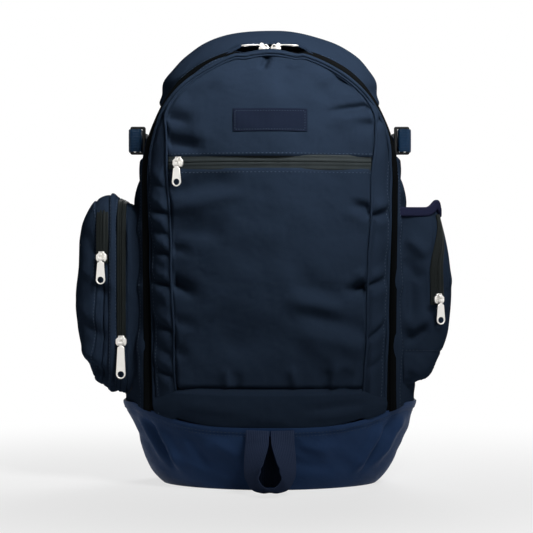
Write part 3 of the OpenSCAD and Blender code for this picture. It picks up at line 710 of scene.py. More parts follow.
    def write(self, finishes: str, body: str, slot: str, *nodes: str) -> bpy.types.Object:
        """Writes the mesh and hands the piece to its body.

        Args:
            finishes: names of its finishes, in the order of the faces' numbers.
            body: body that the piece rides on.
            slot: material slot of the record; not used.
            nodes: nodes that the piece replaces.

        Returns:
            The finished object.
        """
        mesh = bpy.data.meshes.new(self.name)
        points = np.concatenate(self.points)
        loops = np.concatenate([f.ravel() for f, _, _ in self.faces])
        sizes = np.concatenate([np.full(len(f), f.shape[1]) for f, _, _ in self.faces])
        mesh.vertices.add(len(points))
        mesh.loops.add(len(loops))
        mesh.polygons.add(len(sizes))
        marks = np.concatenate([np.full(len(f), m) for f, _, m in self.faces])
        for part, key, values, kind in (
            (mesh.vertices, "co", points, np.float32),
            (mesh.loops, "vertex_index", loops, np.int32),
            (mesh.polygons, "loop_start", np.concatenate([[0], np.cumsum(sizes)[:-1]]), np.int32),
            (mesh.polygons, "use_smooth", np.ones(len(sizes)), bool),
            (mesh.polygons, "material_index", marks, np.int32),
        ):
            part.foreach_set(key, values.astype(kind).ravel())
        places = np.concatenate([p.ravel() for _, p, _ in self.faces]).astype(np.float32)
        mesh.uv_layers.new(name="cloth").data.foreach_set("uv", places)
        mesh.update(calc_edges=True)
        mesh.validate()
        mesh.set_sharp_from_angle(angle=math.radians(self.sharp_degrees))
        obj = bpy.data.objects.new(self.name, mesh)
        bpy.context.scene.collection.objects.link(obj)
        for finish in finishes.split():
            mesh.materials.append(WARDROBE.get(finish))
        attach(obj, body)
        if nodes:
            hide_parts(*nodes)
        LOG.info("%s: %d faces on %s", self.name, len(sizes), body)
        return obj


def sew(name: str, rows: Sequence[tuple[Array, Array]], body: str, slot: str, **size: float) -> None:
    """Makes a piece of stitches.

    Args:
        name: piece name.
        rows: points and outward normals of each row.
        body: body that it rides on.
        slot: material slot of the record; not used.
        size: sizes of the stitches.
    """
    thread = Piece(name)
    for path, normal in rows:
        thread.stitches(path, normal, **size)
    thread.write("thread", body, slot)


def ribbon(path: Array, across: Array, width: float, thick: float) -> tuple[Array, Array]:
    """Rings of a webbing with rounded edges, carried along a path.

    Each ring is a flat superellipse of power 6: half width along across, half thickness along the normal.

    Args:
        path: centre line, shape (n, 3).
        across: width direction, one for all or of shape (n, 3).
        width: full width.
        thick: full thickness.

    Returns:
        The rings, and their cloth coordinates.
    """
    tangent = unit(np.gradient(path, axis=0))
    across = unit(across - np.sum(across * tangent, axis=1, keepdims=True) * tangent)
    normal = np.cross(tangent, across)
    a = np.linspace(0, 2 * np.pi, 25)[:-1]
    k = (np.abs(np.cos(a)) ** 6 + np.abs(np.sin(a)) ** 6) ** (-1 / 6)
    w, t = width / 2 * k * np.cos(a), thick / 2 * k * np.sin(a)
    rings = path[:, None] + w[None, :, None] * across[:, None] + t[None, :, None] * normal[:, None]
    return rings, np.stack(np.broadcast_arrays(np.append(w, w[0]), along(path)[:, None]), axis=2)


def tube(path: Array, radius: float, sides: int = 8) -> Array:
    """Rings of a round cord along a path, set out square to it."""
    tangent = unit(np.gradient(path, axis=0))
    helper = np.where(np.abs(tangent[:, 1:2]) < 0.9, (0.0, 1.0, 0.0), (1.0, 0.0, 0.0))
    n = unit(np.cross(tangent, helper))
    b = np.cross(tangent, n)
    a = np.linspace(0, 2 * np.pi, sides + 1)[:-1]
    turned = np.cos(a)[None, :, None] * n[:, None] + np.sin(a)[None, :, None] * b[:, None]
    return path[:, None] + radius * turned


def plate(outline: Sequence[Pair], holes: Sequence[Sequence[Pair]], thick: float,
          bevel: float) -> bpy.types.Object:
    """Flat plate with rounded edges in the XZ plane, its middle at y = 0.

    A filled curve with a bevel, made a mesh and stood upright.

    Args:
        outline: corners of the plate.
        holes: corners of each hole.
        thick: full thickness.
        bevel: radius of its edges.

    Returns:
        A new object that is not in the scene.
    """
    curve = bpy.data.curves.new("plate", "CURVE")
    curve.dimensions, curve.fill_mode = "2D", "BOTH"
    curve.extrude, curve.bevel_depth, curve.bevel_resolution = thick / 2 - bevel, bevel, 2
    curve.offset = -bevel
    for ring in (outline, *holes):
        spline = curve.splines.new("POLY")
        spline.points.add(len(ring) - 1)
        co = np.array([(x, z, 0.0, 1.0) for x, z in ring], dtype=np.float32)
        spline.points.foreach_set("co", co.ravel())
        spline.use_cyclic_u = True
    holder = bpy.data.objects.new("plate", curve)
    mesh = bpy.data.meshes.new_from_object(holder)
    bpy.data.objects.remove(holder)
    mesh.transform(spin(RIGHT_ANGLE, "X"))
    return bpy.data.objects.new("plate", mesh)


def circle(x: float, z: float, r: float, n: int = 28) -> list[Pair]:
    """Corners of a circle."""
    return [(x + r * math.cos(2 * math.pi * i / n), z + r * math.sin(2 * math.pi * i / n)) for i in range(n)]


def box_outline(x0: float, x1: float, z0: float, z1: float, r: float, n: int = 5) -> list[Pair]:
    """Corners of a rectangle with rounded corners of radius r."""
    out = []
    right, left, high, low = x1 - r, x0 + r, z1 - r, z0 + r
    for cx, cz, start in ((right, high, 0), (left, high, 90), (left, low, 180), (right, low, 270)):
        for i in range(n + 1):
            a = math.radians(start + 90 * i / n)
            out.append((cx + r * math.cos(a), cz + r * math.sin(a)))
    return out


# --- form of the bag
class Arch(NamedTuple):
    """Superellipse dome of a power, from side height to top, over straight sides that lean to their feet."""

    half: Array
    foot_half: Array
    foot: Array
    side: Array
    top: Array
    power: Array

    def at(self, t: Array) -> tuple[Array, Array]:
        """Across and up at t from -1 (left foot) through 0 (top) to 1 (right foot)."""
        q, n = np.abs(t), self.power
        a = np.radians(90 * np.clip(1 - q / 0.5, 0, 1))
        f = np.clip((1 - q) / 0.5, 0, 1)
        x = np.where(q < 0.5, self.half * np.cos(a) ** (2 / n), lerp(self.foot_half, self.half, f))
        dome = self.side + (self.top - self.side) * np.sin(a) ** (2 / n)
        return np.sign(t) * x, np.where(q < 0.5, dome, lerp(self.foot, self.side, f))

    def half_at(self, z: Array) -> Array:
        """Half width at height z."""
        high = np.maximum(0, (z - self.side) / (self.top - self.side))
        dome = self.half * np.maximum(0, 1 - high**self.power) ** (1 / self.power)
        low = np.clip((z - self.foot) / (self.side - self.foot), 0, 1)
        return np.where(z < self.side, lerp(self.foot_half, self.half, low), dome)


@dataclass(frozen=True)
class BagForm:
    """Sizes of the bag and the functions that shape it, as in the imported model."""

    base_half_w: float = 0.162
    base_front: float = 0.106
    base_back: float = 0.092
    seam_side_z: float = 0.088
    seam_front_z: float = 0.066
    back_top: float = 0.5
    top_bulge: float = 0.016
    back_half_w: float = 0.138
    side_bulge: float = 0.016
    back_y: float = 0.084
    wall: float = 0.003
    gap: float = 0.0003
    zip_half_w: float = 0.131
    zip_top: float = 0.472
    zip_depth: float = 0.046
    zip_sweep: float = 0.013
    front_half_w: float = 0.113
    front_top: float = 0.47
    front_seam_y: float = 0.078
    front_belly: float = 0.026
    lower_top: float = 0.107
    front_zip_z: float = 0.3498
    tape_w: float = 0.015
    back_face: float = 0.0883
    lid_side_z: float = 0.33
    seam_side: float = 0.396
    body_side_z: float = 0.24
    groove_deep: float = 0.0036
    lock_dent: float = 0.0048
    groove_w: float = 0.0034
    rim_high: float = 0.0022
    rim_at: float = 0.0085

    def base_x(self, y: Array) -> Array:
        """Half width of the base seam at depth y, half_w (1 - (|y|/deep)^n)^(1/n), n 1.8 or 5 behind."""
        deep, n = np.where(y < 0, self.base_front, self.base_back), np.where(y < 0, 1.8, 5.0)
        return self.base_half_w * np.maximum(0, 1 - np.minimum(1, np.abs(y) / deep) ** n) ** (1 / n)

    def seam_z(self, y: Array) -> Array:
        """Height of the base seam at depth y: eased from the front height up to the side height."""
        return lerp(self.seam_front_z, self.seam_side_z, past(y, -self.base_front, 0.076))

    def zip_y(self, z: Array) -> Array:
        """Depth of the zip line at height z: it sweeps forward as the square of the way below 200 mm."""
        return -self.zip_depth - self.zip_sweep * (np.maximum(0, 0.2 - z) / (0.2 - self.seam_side_z)) ** 2

    def body_arch(self, v: Array) -> Arch:
        """Arch of the body at share v of its depth."""
        y = lerp(self.zip_y(self.seam_side_z), self.back_y, v)
        arc, share = np.sin(np.pi * v).clip(0), smooth(1.2 * v)
        half = lerp(self.zip_half_w, self.back_half_w, v) + self.side_bulge * arc**0.8
        top = lerp(self.zip_top, self.back_top, smooth(v)) + self.top_bulge * arc**1.5
        side, power = lerp(self.lid_side_z, self.body_side_z, share), lerp(2.25, 2.8, share)
        return Arch(half, self.base_x(y) - MM, self.seam_z(y) + self.gap, side, top, power)

    def body_point(self, t: Array, v: Array) -> Array:
        """Point of the body at arch share t and depth share v."""
        x, z = self.body_arch(v).at(t)
        return xyz(x, lerp(self.zip_y(z), self.back_y, v), z)

    def body_x(self, y: Array, z: Array) -> Array:
        """Half width of the body at depth y and height z."""
        v = np.clip((y - self.zip_y(z)) / (self.back_y - self.zip_y(z)), 0, 1)
        return self.body_arch(v).half_at(z)

    def lid_arch(self, u: Array) -> Arch:
        """Arch of the lid at share u from the zip to the front seam."""
        y = lerp(self.zip_y(self.seam_side_z) - 0.0006, -self.front_seam_y, u)
        half = lerp(self.zip_half_w, self.front_half_w, u) + 0.003 * np.sin(np.pi * u)
        foot_half = np.minimum(half - 0.002, self.base_x(y) - MM)
        top = lerp(self.zip_top, self.front_top, u)
        side = lerp(self.lid_side_z, self.seam_side, u)
        return Arch(half, foot_half, self.seam_z(y) + 0.0012, side, top, lerp(2.25, 1.65, u))

    def lid_point(self, t: Array, u: Array) -> Array:
        """Point of the lid's gusset at arch share t and share u from the zip to the front seam."""
        x, z = self.lid_arch(u).at(t)
        return xyz(x, lerp(self.zip_y(z) - 0.0006, -self.front_seam_y, u), z)

    def beside_zip(self, d: Array) -> Array:
        """Height of the cloth at distance d from the zip line: a groove on the line and a rim beside it."""
        return self.rim_high * bell(d - self.rim_at, 0.0036) - self.groove_deep * bell(d, self.groove_w)

    def body_step(self, x: Array, z: Array, d: Array) -> Array:
        """How far the body's cloth stands out at distance d from the zip, which turns its tape forward: the
        near-black tape then shows as a dark band, painted shade of the zip's recess.
        """
        where = past(np.abs(x), 0.03, 0.01) * lerp(0.62, 1.0, past(np.abs(x), 0.066, 0.05))
        where = where * lerp(1.65, 1.0, past(0.425, z, 0.03)) * (1 - 0.68 * bell(z - 0.412, 0.036))
        return 0.0036 * where * smooth(d / 0.0045) * past(0.032, d, 0.022)

    def dent(self, y: Array, z: Array) -> Array:
        """How deep the side cloth is pressed in by the compression strap and its lock."""
        tall = past(0.0225, np.abs(z - 0.379), 0.008)
        return self.lock_dent * tall * past(y, -0.03, 0.012) * past(0.06, y, 0.05)

    def parked(self, x: Array) -> Array:
        """Share of the zip's rims left at distance x from the middle: none where the sliders park."""
        return past(np.abs(x), 0.026, 0.012)

    def body_rim(self, p: Array, d: Array) -> Array:
        """Height of the body's cloth at points p and distance d from the zip."""
        return self.beside_zip(d) * self.parked(p[..., 0]) + self.body_step(p[..., 0], p[..., 2], d)

    def lid_rim(self, p: Array, d: Array) -> Array:
        """Height of the lid's gusset at points p and distance d from the zip."""
        return self.beside_zip(d) * self.parked(p[..., 0])

    def seam_drift(self, side: Array, z: Array) -> Array:
        """Sideways wander of the front's side seams at height z."""
        return 0.0016 * dapple(z, 3.1 * side, 0.042, 7)

    def front_x(self, z: Array, inset: float = 0.0) -> Array:
        """Half width of the front seam at height z."""
        half, foot_half, foot, side, top, n = self.lid_arch(1.0)
        return Arch(half - inset, foot_half - inset, foot, side, top - inset, n).half_at(z)

    def front_y(self, x: Array, z: Array) -> Array:
        """Depth of the front: a belly that fades out under the top edge, 1 - (|x|/half)^2.2 across."""
        start = self.lid_side_z - 0.03
        fade = 1 - np.clip((z - start) / (self.front_top - start), 0, 1) ** 3
        across = 1 - np.minimum(1, np.abs(x) / np.maximum(0.02, self.front_x(z))) ** 2.2
        return -self.front_seam_y - self.front_belly * fade * across


FORM = BagForm()


# --- main body
@dataclass
class MainBody:
    """Side and top cloth of the body, its base, its board, its inner sleeve and the garage over the zip."""

    rows: int = 64
    cols: int = 560
    hood_half: float = 0.062
    hood_lift: float = 0.0105
    side_folds: tuple[Fold, ...] = folds(
        (-200, 3950, 500, 3720, 100, 30, 16), (-300, 3520, 400, 3180, 90, -30, 15),
        (-300, 3300, 300, 3000, 110, 26, 15), (-450, 2900, 0, 2550, 80, 26, 16),
        (-450, 2250, -50, 2000, 90, 26, 18), (-500, 1600, -100, 1300, 90, 24, 15),
        (100, 4400, 700, 4200, 120, 26, 14), (200, 3000, 780, 3420, 80, -26, 15),
        (-400, 1200, 300, 1000, 80, 20, 14),
    )
    column: tuple[Triple, ...] = ((0.0028, 0.015, 0.0042), (-0.0034, 0.022, 0.0034))
    crown_tucks: tuple[Triple, ...] = (
        (0.014, 0.412, 0.011), (0.0065, 0.433, 0.009), (0.003, 0.4195, 0.0028), (-0.0024, 0.452, 0.018),
        (-0.003, 0.474, 0.012), (0.006, 0.393, 0.009),
    )
    boot_folds: tuple[Fold, ...] = folds(
        (-1500, 740, -1280, 200, 50, 36, 14), (-1620, 740, -1400, 200, 45, -34, 14),
        (-1760, 800, -1560, 300, 50, 30, 14), (1460, 760, 1260, 160, 50, 36, 14),
        (1580, 780, 1380, 180, 45, -34, 14), (1740, 800, 1540, 260, 50, 32, 14),
        (-750, 560, -300, 300, 80, 24, 16), (340, 540, 850, 400, 70, 24, 16),
        (400, 300, 980, 200, 60, -18, 16), (-1100, 600, -860, 220, 70, -22, 16),
    )

    def build(self) -> None:
        """Makes every piece of the body."""
        self.gusset()
        self.hood()
        self.boot()
        self.board()
        self.sleeve()

    def surface(self) -> Array:
        """Outer surface of the body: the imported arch, grooved and rimmed at the zip, folded and slack.

        Over the top the rim stands a little forward, but not in the middle where the sliders park. On each
        side a long fold stands beside the zip, and the crown is drawn in where its seam meets the side.
        """
        t = np.linspace(-1, 1, 1201)[None, :]
        v = (np.linspace(0, 1, self.rows) ** 1.25)[:, None]
        p = even_rows(FORM.body_point(t, v), self.cols)
        n = grid_normals(p)
        x, y, z = np.abs(p[..., 0]), p[..., 1], p[..., 2]
        run = cloth_map(p)
        d = run[..., 1]
        side = past(x, 0.08, 0.04)
        hold = smooth(d / 0.01) * past(1, v, 0.08)
        lift = 1.1 * folded(self.side_folds, y, z) * side * hold + FORM.body_rim(p, d)
        ruffle = 0.0014 * np.exp(-d / 0.02) * dapple(run[..., 0], 0.0, 0.022, 3)
        lift += ruffle * past(d, 0.005, 0.008)
        lift += 0.0016 * dapple(run[..., 0] + 0.4 * d, d, 0.045, 5) * hold
        off = d - 0.0022 * dapple(z, np.sign(p[..., 0]), 0.085, 9)
        column = side * past(0.36, z, 0.05) * past(z, 0.1, 0.03)
        lift += bells(off, self.column) * column
        lift -= bells(z, self.crown_tucks) * side * hold
        lift -= FORM.dent(y, z) * side
        roll = past(d, 0.007, 0.006) * past(0.047, d, 0.035)
        roll = roll * past(z, 0.4, 0.03) * FORM.parked(x)
        p = p + n * (lift + 0.0012 * roll)[..., None]
        p[..., 1] -= 0.0008 * roll
        return p

    def gusset(self) -> None:
        """Side and top cloth with a lining, its back binding and its stitches."""
        p = self.surface()
        n = grid_normals(p)
        shell = Piece("body_gusset").cloth(p, n, FORM.wall - 0.0004)
        shell.write("twill lining", "shell", "twill", "main_gusset")
        rim = resample(p[-1] + n[-1] * 0.0003 + (0, 0.0018, 0), 300)
        Piece("back_piping").sweep(tube(rim, 0.0024, 10)).write("strap", "shell", "binding")
        sew("body_stitching", [(p[row], n[row]) for row in (8, -5)], "shell", "twill")

    def hood(self) -> None:
        """Garage over the sliders: a flap on the top cloth, lifted at its hem and sewn down behind.

        Its height over the body falls from the hem backwards and towards both ends.
        """
        v = np.linspace(0.045, 0.3, 26)[:, None]
        half, _, _, side, top, n = FORM.body_arch(v)
        x = np.linspace(-self.hood_half, self.hood_half, 91)[None, :]
        z = side + (top - side) * (1 - (np.abs(x) / half) ** n) ** (1 / n)
        y = lerp(FORM.zip_y(z), FORM.back_y, v) - 0.003 * past(0.14, v, 0.09)
        across = 1 - smooth((np.abs(x) - 0.028) / (self.hood_half - 0.03))
        lift = lerp(self.hood_lift, 0.0014, past(v, 0.045, 0.25)) * lerp(0.1, 1.0, across)
        lift += 0.0006 * dapple(x, y, 0.018, 13)
        p = xyz(x, y, z + lift)
        p = np.concatenate([p[:1] + (0, 0.005, -0.003), p[:1] + (0, -0.0004, -0.0026), p])
        p[2, :, 1] -= 0.0006
        nrm = grid_normals(p)
        Piece("zip_garage").shell(p, p - nrm * 0.0011).write("twill", "shell", "twill")

    def boot_surface(self) -> Array:
        """Outer surface of the base: rings that lean in towards the floor, then close flat in the middle."""
        a = np.linspace(0, 2 * np.pi, 241)[:-1][None, :]
        r = np.linspace(-0.03, 1, 40)[:, None]
        front = np.sin(a) < 0
        deep = np.where(front, FORM.base_front, FORM.base_back)
        x, y = rounded(a, np.where(front, 1.8, 5.0))
        x, y = FORM.base_half_w * x, deep * y
        lean = np.maximum(r, 0)
        d = 0.034 * lean + 0.01 * lean**8
        share = np.where(front, 0.48, 0.75)
        z = FORM.seam_z(y) * (1 - r)
        p = xyz(x * (1 - d / FORM.base_half_w), y * (1 - share * d / deep), np.maximum(z, 0.0))
        floor = p[-1][None] * np.linspace(0.93, 0.08, 8)[:, None, None]
        floor[..., 2] = 0.0
        return np.concatenate([p, floor])

    def boot(self) -> None:
        """Base of smooth nylon with slack folds, a lining, a top hem and two rows of stitches."""
        p = self.boot_surface()
        n = grid_normals(p, (0.0, 0.0, 0.05), wrap=True)
        x, y, z = p[..., 0], p[..., 1], p[..., 2]
        run = np.arctan2(x, -y) * 0.13
        below = FORM.seam_z(y) - z
        free = smooth(z / 0.03) * past(below, 0.004, 0.02)
        lift = 0.004 * dapple(run, z * 0.8, 0.06, 11) + 0.0016 * dapple(run + z, z * 1.5, 0.022, 12)
        lift = (lift + 1.5 * folded(self.boot_folds, run, z)) * free
        lift += 0.0008 * dapple(run, 0.0, 0.011, 14) * bell(below - 0.01, 0.005)
        lift += 0.0009 * past(0.006, below, 0.002)
        p = p + n * np.where(z > 0.002, lift, 0.0)[..., None]
        shell = Piece("base_cloth").cloth(p, n, FORM.wall - 0.0004, wrap=True, tip=True)
        shell.write("boot lining", "shell", "base_cloth", "base_boot")
        rings = [[np.concatenate([g[row], g[row][:1]]) for g in (p, n)] for row in (3, 5)]
        sew("base_stitching", rings, "shell", "base_cloth", length=0.0028, gap=0.0014)

    def board(self) -> None:
        """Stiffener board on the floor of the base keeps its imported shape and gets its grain."""
        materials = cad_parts["base_board"].data.materials
        materials.clear()
        materials.append(WARDROBE.get("board"))

    def sleeve(self) -> None:
        """Inner sleeve against the back: a slack cloth pocket, bound along its mouth."""
        lo, hi = corners("inner_sleeve")
        x = np.linspace(lo[0], hi[0], 61)[None, :]
        z = np.linspace(lo[2], hi[2], 51)[:, None]
        e = np.minimum((x - lo[0]) / (hi[0] - lo[0]), (hi[0] - x) / (hi[0] - lo[0])) * 2
        slack = smooth(e / 0.25)
        y = lerp(hi[1] - 0.002, lo[1] + 0.0015, slack * past(z, lo[2], 0.03))
        p = xyz(x, y + 0.0014 * dapple(x, z, 0.05, 21) * slack, z)
        Piece("sleeve_cloth").shell(p, p + (0, 0.0012, 0)).write("lining", "shell", "lining", "inner_sleeve")
        Piece("sleeve_binding").webbing(p[-1], UP, 0.018, 0.0022).write("strap", "shell", "binding")


# --- zip tapes
@dataclass
class ZipTape:
    """Coated zip tape that follows a strip of a surface: two lips that meet over the coil in a fine groove.

    Attributes:
        name: piece name.
        node: packed tape that it replaces.
        body: body that it rides on.
        count: points along it.
        width: width across it.
        away: point that its outside turns away from.
        half: True for a tape whose groove is along its first edge.
        proud: height over the strip.
        finish: name of its finish.
        rim: height of the cloth under it at its points and their distance from its first edge.
    """

    name: str
    node: str
    body: str = "shell"
    count: int = 150
    width: float = 0.015
    away: Triple = CORE
    half: bool = False
    proud: float = 0.0012
    # Default finish: the darker copy of the coated tape, its extra darkness painted shade of the side pockets.
    finish: str = "pocket_tape_and_shade"
    rim: Optional[Callable[[Array, Array], Array]] = None

    def profile(self, s: Array) -> Array:
        """Height across the tape, s from -1 to 1: a low coil ridge with a groove between the lips."""
        ridge = 0.0007 * past(0.5, np.abs(s), 0.2)
        groove = 0.001 * bell(s * (self.width * (2 if self.half else 1)) / 2, 0.0004)
        edge = 0.0006 * past(np.abs(s), 0.86, 0.12)
        return ridge - groove - edge

    def build(self, strip: Callable[[Array, Array], Array]) -> None:
        """Makes the tape.

        Args:
            strip: point of the tape at share a along it and s across it, -1 to 1.
        """
        s = np.linspace(-1, 1, 29)[:, None]
        p = strip(np.linspace(0, 1, self.count)[None, :], s)
        n = grid_normals(p, self.away)
        run = cloth_map(p)
        slack = 0.0002 * dapple(run[..., 0], run[..., 1], 0.012, 31)
        lift = self.proud + self.profile(s + 1 if self.half else s) + slack
        if self.rim is not None:
            lift += self.rim(p, run[..., 1])
        flat = run.copy()
        flat[..., 1] -= flat[:1, :, 1] if self.half else flat[-1:, :, 1] / 2
        top = p + n * lift[..., None]
        tape = Piece(self.name).shell(top, top - n * 0.0009, flat=flat)
        tape.write(self.finish, self.body, "zip_tape", self.node)


# --- lid
@dataclass
class Lid:
    """Front of the bag that swings open: gusset, piping, three front panels, pocket lining and patch."""

    relief: float = 1.8
    pinches: tuple[tuple[float, float, float, float], ...] = (
        (-1, 0.396, 0.4, 0.014), (-1, 0.322, 0.5, 0.016), (-1, 0.294, 1.1, 0.015),
        (-1, 0.271, 0.5, 0.022), (-1, 0.25, 1.1, 0.017), (-1, 0.217, 1.3, 0.013), (-1, 0.192, 0.2, 0.024),
        (-1, 0.168, 0.9, 0.018), (-1, 0.141, 0.4, 0.02), (-1, 0.12, 0.9, 0.014), (1, 0.392, 0.5, 0.016),
        (1, 0.293, 1.3, 0.006), (1, 0.217, 1.1, 0.01), (1, 0.16, 0.8, 0.022), (1, 0.128, 0.4, 0.016),
    )
    panel_folds: tuple[Fold, ...] = folds(
        (-1220, 4010, -860, 3940, 50, -24, 16), (-1220, 3740, -740, 3660, 60, -36, 18),
        (-1180, 3850, -700, 3770, 70, 18, 14), (1240, 4140, 620, 4040, 38, -30, 22),
        (1200, 4040, 700, 3960, 70, 18, 14), (1180, 3880, 820, 3930, 60, -14, 14),
        (-10, 4700, -90, 4520, 40, -34, 10), (210, 4620, 140, 4240, 100, -14, 14),
        (820, 4440, 500, 4200, 80, -18, 14), (-940, 4130, -540, 4330, 80, -16, 14),
        (-1120, 3160, -360, 3300, 85, -46, 15), (-1120, 3000, -280, 3180, 90, 26, 15),
        (1240, 2960, 880, 3060, 50, -40, 16), (1200, 2840, 800, 3000, 60, 20, 16),
        (-1100, 2800, -500, 2760, 110, -26, 15), (-1220, 2320, -800, 2080, 55, -30, 16),
        (-1220, 2620, -860, 2540, 50, -20, 16), (-1220, 1820, -800, 1760, 55, -22, 16),
        (-1220, 1500, -860, 1440, 55, -18, 16), (1260, 2240, 820, 2130, 45, -42, 18),
        (1200, 2360, 900, 2280, 60, 18, 14), (260, 2180, 780, 2040, 85, -26, 15),
        (200, 2050, 800, 1900, 90, 18, 15), (340, 1900, 1120, 1600, 80, -36, 16),
        (300, 1730, 1060, 1460, 100, 26, 15), (-560, 1520, 120, 1700, 180, -22, 12),
        (130, 2130, 1070, 1500, 110, 18, 13), (-1180, 1500, -500, 2050, 100, 18, 13),
        (200, 1720, 980, 1220, 100, 16, 13), (-440, 1060, -470, 1300, 42, 16, 14),
        (-340, 1060, -360, 1260, 50, -9, 14), (290, 1060, 230, 1320, 46, 17, 14),
        (660, 1060, 720, 1350, 46, 18, 14), (570, 1060, 610, 1280, 50, -11, 14),
        (780, 1060, 860, 1280, 55, -9, 14),
    )
    band_folds: tuple[Fold, ...] = folds(
        (400, 860, 1000, 920, 32, -24, 20), (400, 780, 960, 820, 45, 14, 14),
        (-900, 900, -300, 840, 50, 14, 16), (-200, 780, 200, 740, 50, 12, 16),
    )

    def build(self) -> None:
        """Makes every piece of the lid."""
        self.gusset()
        self.piping()
        self.panels()
        self.lower()
        self.lining()
        self.patch()

    def top_dip(self, x: Array, z: Array) -> Array:
        """How far the lid's top edge dips in its middle, between the ends of the piping."""
        return 0.0036 * (1 - past(np.abs(x), 0.026, 0.012)) * past(z, 0.44, 0.02)

    @staticmethod
    def on_side(x: Array) -> Array:
        """Share of the side at distance x from the middle: none over the top, all past 90 mm."""
        return past(np.abs(x), 0.07, 0.02)

    def gusset(self) -> None:
        """Gusset between zip and front seam: swollen, and pinched at the seam into slanting creases."""
        t = np.linspace(-1, 1, 1401)[None, :]
        u = np.linspace(0.0, 1, 36)[:, None]
        p = even_rows(FORM.lid_point(t, u), 820)
        n = grid_normals(p)
        x, z = p[..., 0], p[..., 2]
        u = np.broadcast_to(u, x.shape)
        run = cloth_map(p)
        d = run[..., 1]
        inside = past(d, 0.003, 0.007) * past(1.02, u, 0.18)
        lift = 0.0022 * np.sin(np.pi * np.clip((u - 0.2) / 0.8, 0, 1))
        for side, height, pull, slant in self.pinches:
            mark = (np.sign(x) == side) * self.on_side(x) * pull
            fall = z - height - slant * (1 - u)
            lift -= 0.0042 * bell(fall, lerp(0.006, 0.003, u)) * mark * past(u, 0.1, 0.7)
            lift += 0.0026 * bell(fall - 0.0105, lerp(0.009, 0.0055, u)) * mark * smooth(u / 0.6)
            lift += 0.0016 * bell(fall + 0.01, lerp(0.009, 0.006, u)) * mark * smooth(u / 0.6)
        lift = (lift + 0.0022 * dapple(run[..., 0], run[..., 1], 0.031, 41)) * inside
        lift -= 0.002 * bell((1 - u) * 0.032, 0.0022) * past(0.43, z, 0.03)
        lift += FORM.lid_rim(p, d)
        p = p + n * lift[..., None]
        p[..., 2] -= self.top_dip(p[..., 0], p[..., 2]) * past(u, 0.4, 0.5)
        p[..., 0] += FORM.seam_drift(np.sign(x), z) * past(u, 0.4, 0.6) * self.on_side(x)
        n = grid_normals(p)
        shell = Piece("lid_gusset_cloth").cloth(p, n, FORM.wall - 0.0006)
        shell.write("twill lining", "lid", "twill", "lid_gusset")
        sew("lid_stitching", [(p[12], n[12])], "lid", "twill")

    def piping(self) -> None:
        """Thin cord in the front seam, and a stuffed flange that leaves the seam's top at each side."""
        t = np.linspace(-0.985, 0.985, 1201)
        seam = np.full(t.shape, 1.0)
        flange = lerp(0.2, 1.0, past(FORM.lid_point(t, seam)[:, 2], 0.38, 0.055))
        for name, u, high, behind, r, nodes in (("seam_cord", seam, -0.0006, 0.0004, 0.0012, ["lid_piping"]),
                                                ("edge_flange", flange, 0.0026, 0.0012, 0.0021, [])):
            p = FORM.lid_point(t, u)
            out = xyz(p[:, 0] / 0.131, 0.0, past(p[:, 2], 0.33, 0.14))
            out[:, 0] *= 1 - 0.6 * out[:, 2]
            lift = high + 0.0006 * dapple(along(p), 0.0, 0.03, 51)
            p = p + unit(out) * lift[:, None] + (0, behind, 0)
            p[:, 2] -= self.top_dip(p[:, 0], p[:, 2]) * 0.9
            p[:, 0] += FORM.seam_drift(np.sign(p[:, 0]), p[:, 2]) * u * self.on_side(p[:, 0])
            Piece(name).sweep(tube(resample(p, 520), r, 10)).write("twill", "lid", "twill", *nodes)

    def front(self, c: Array, z: Array) -> Array:
        """Point of the front at share c of the half width and height z, with its folds and slack."""
        x = c * FORM.front_x(z, 0.0016)
        lift = self.relief * (1 + 0.55 * past(0.31, z, 0.07)) * folded(self.panel_folds, x, z)
        rim = past(1, np.abs(c), 0.04)
        lift = lift + 0.003 * dapple(x, z, 0.06, 61) + 0.0011 * dapple(x + 0.3 * z, z, 0.021, 62)
        for side, height, pull, _ in self.pinches:
            lift -= 0.003 * pull * bell(z - height, 0.005) * bell(x - side * 0.111, 0.012)
        lift -= 0.0052 * past(0.245, z, 0.15) * past(1, np.abs(c), 0.5)
        tip = xyz(x, FORM.front_y(x, z) - lift * rim, z)
        tip[..., 2] -= self.top_dip(tip[..., 0], tip[..., 2])
        tip[..., 0] += FORM.seam_drift(np.sign(c), z) * np.abs(c) ** 6 * self.on_side(x)
        return tip

    def panel(self, name: str, low: Pair, high: Pair) -> tuple[Array, Array]:
        """One front panel between two heights, its hems rolled inwards.

        Args:
            name: last word of its name.
            low: lower edge, and how far its hem rolls in.
            high: upper edge, and how far its hem rolls in.

        Returns:
            The panel's grid and its normals.
        """
        z = lerp(low[0], high[0], np.linspace(0, 1, 110)[:, None])
        c = np.linspace(-1, 1, 181)[None, :]
        p = self.front(c, z)
        roll_low = low[1] * (1 - smooth((z - low[0]) / (low[1] * 1.1 + 1e-6)))
        roll_high = high[1] * (1 - smooth((high[0] - z) / (high[1] * 1.6 + 1e-6)))
        p[..., 1] += roll_low + roll_high + 0.0022 * (1 - past(1, np.abs(c), 0.03))
        n = grid_normals(p, BEHIND)
        cloth = Piece(f"front_{name}").cloth(p, n, 0.0022)
        cloth.write("twill lining", "lid", "twill", f"front_panel_{name}")
        return p, n

    def panels(self) -> None:
        """Main and upper front panels and the stitches along the front zip."""
        low, high = FORM.front_zip_z - FORM.tape_w / 2, FORM.front_zip_z + FORM.tape_w / 2
        main = self.panel("main", (FORM.lower_top - 0.001, 0.006), (low + 0.0012, 0.0016))
        upper = self.panel("upper", (high - 0.0012, 0.0016), (FORM.front_top - 0.0018, 0.0008))
        rows = []
        for (p, n), height in ((main, low - 0.0022), (upper, high + 0.0022)):
            row = int(np.argmin(np.abs(p[:, 90, 2] - height)))
            rows.append((p[row], n[row]))
        sew("front_stitching", rows, "lid", "twill", length=0.0028, gap=0.0014, r=0.00042)

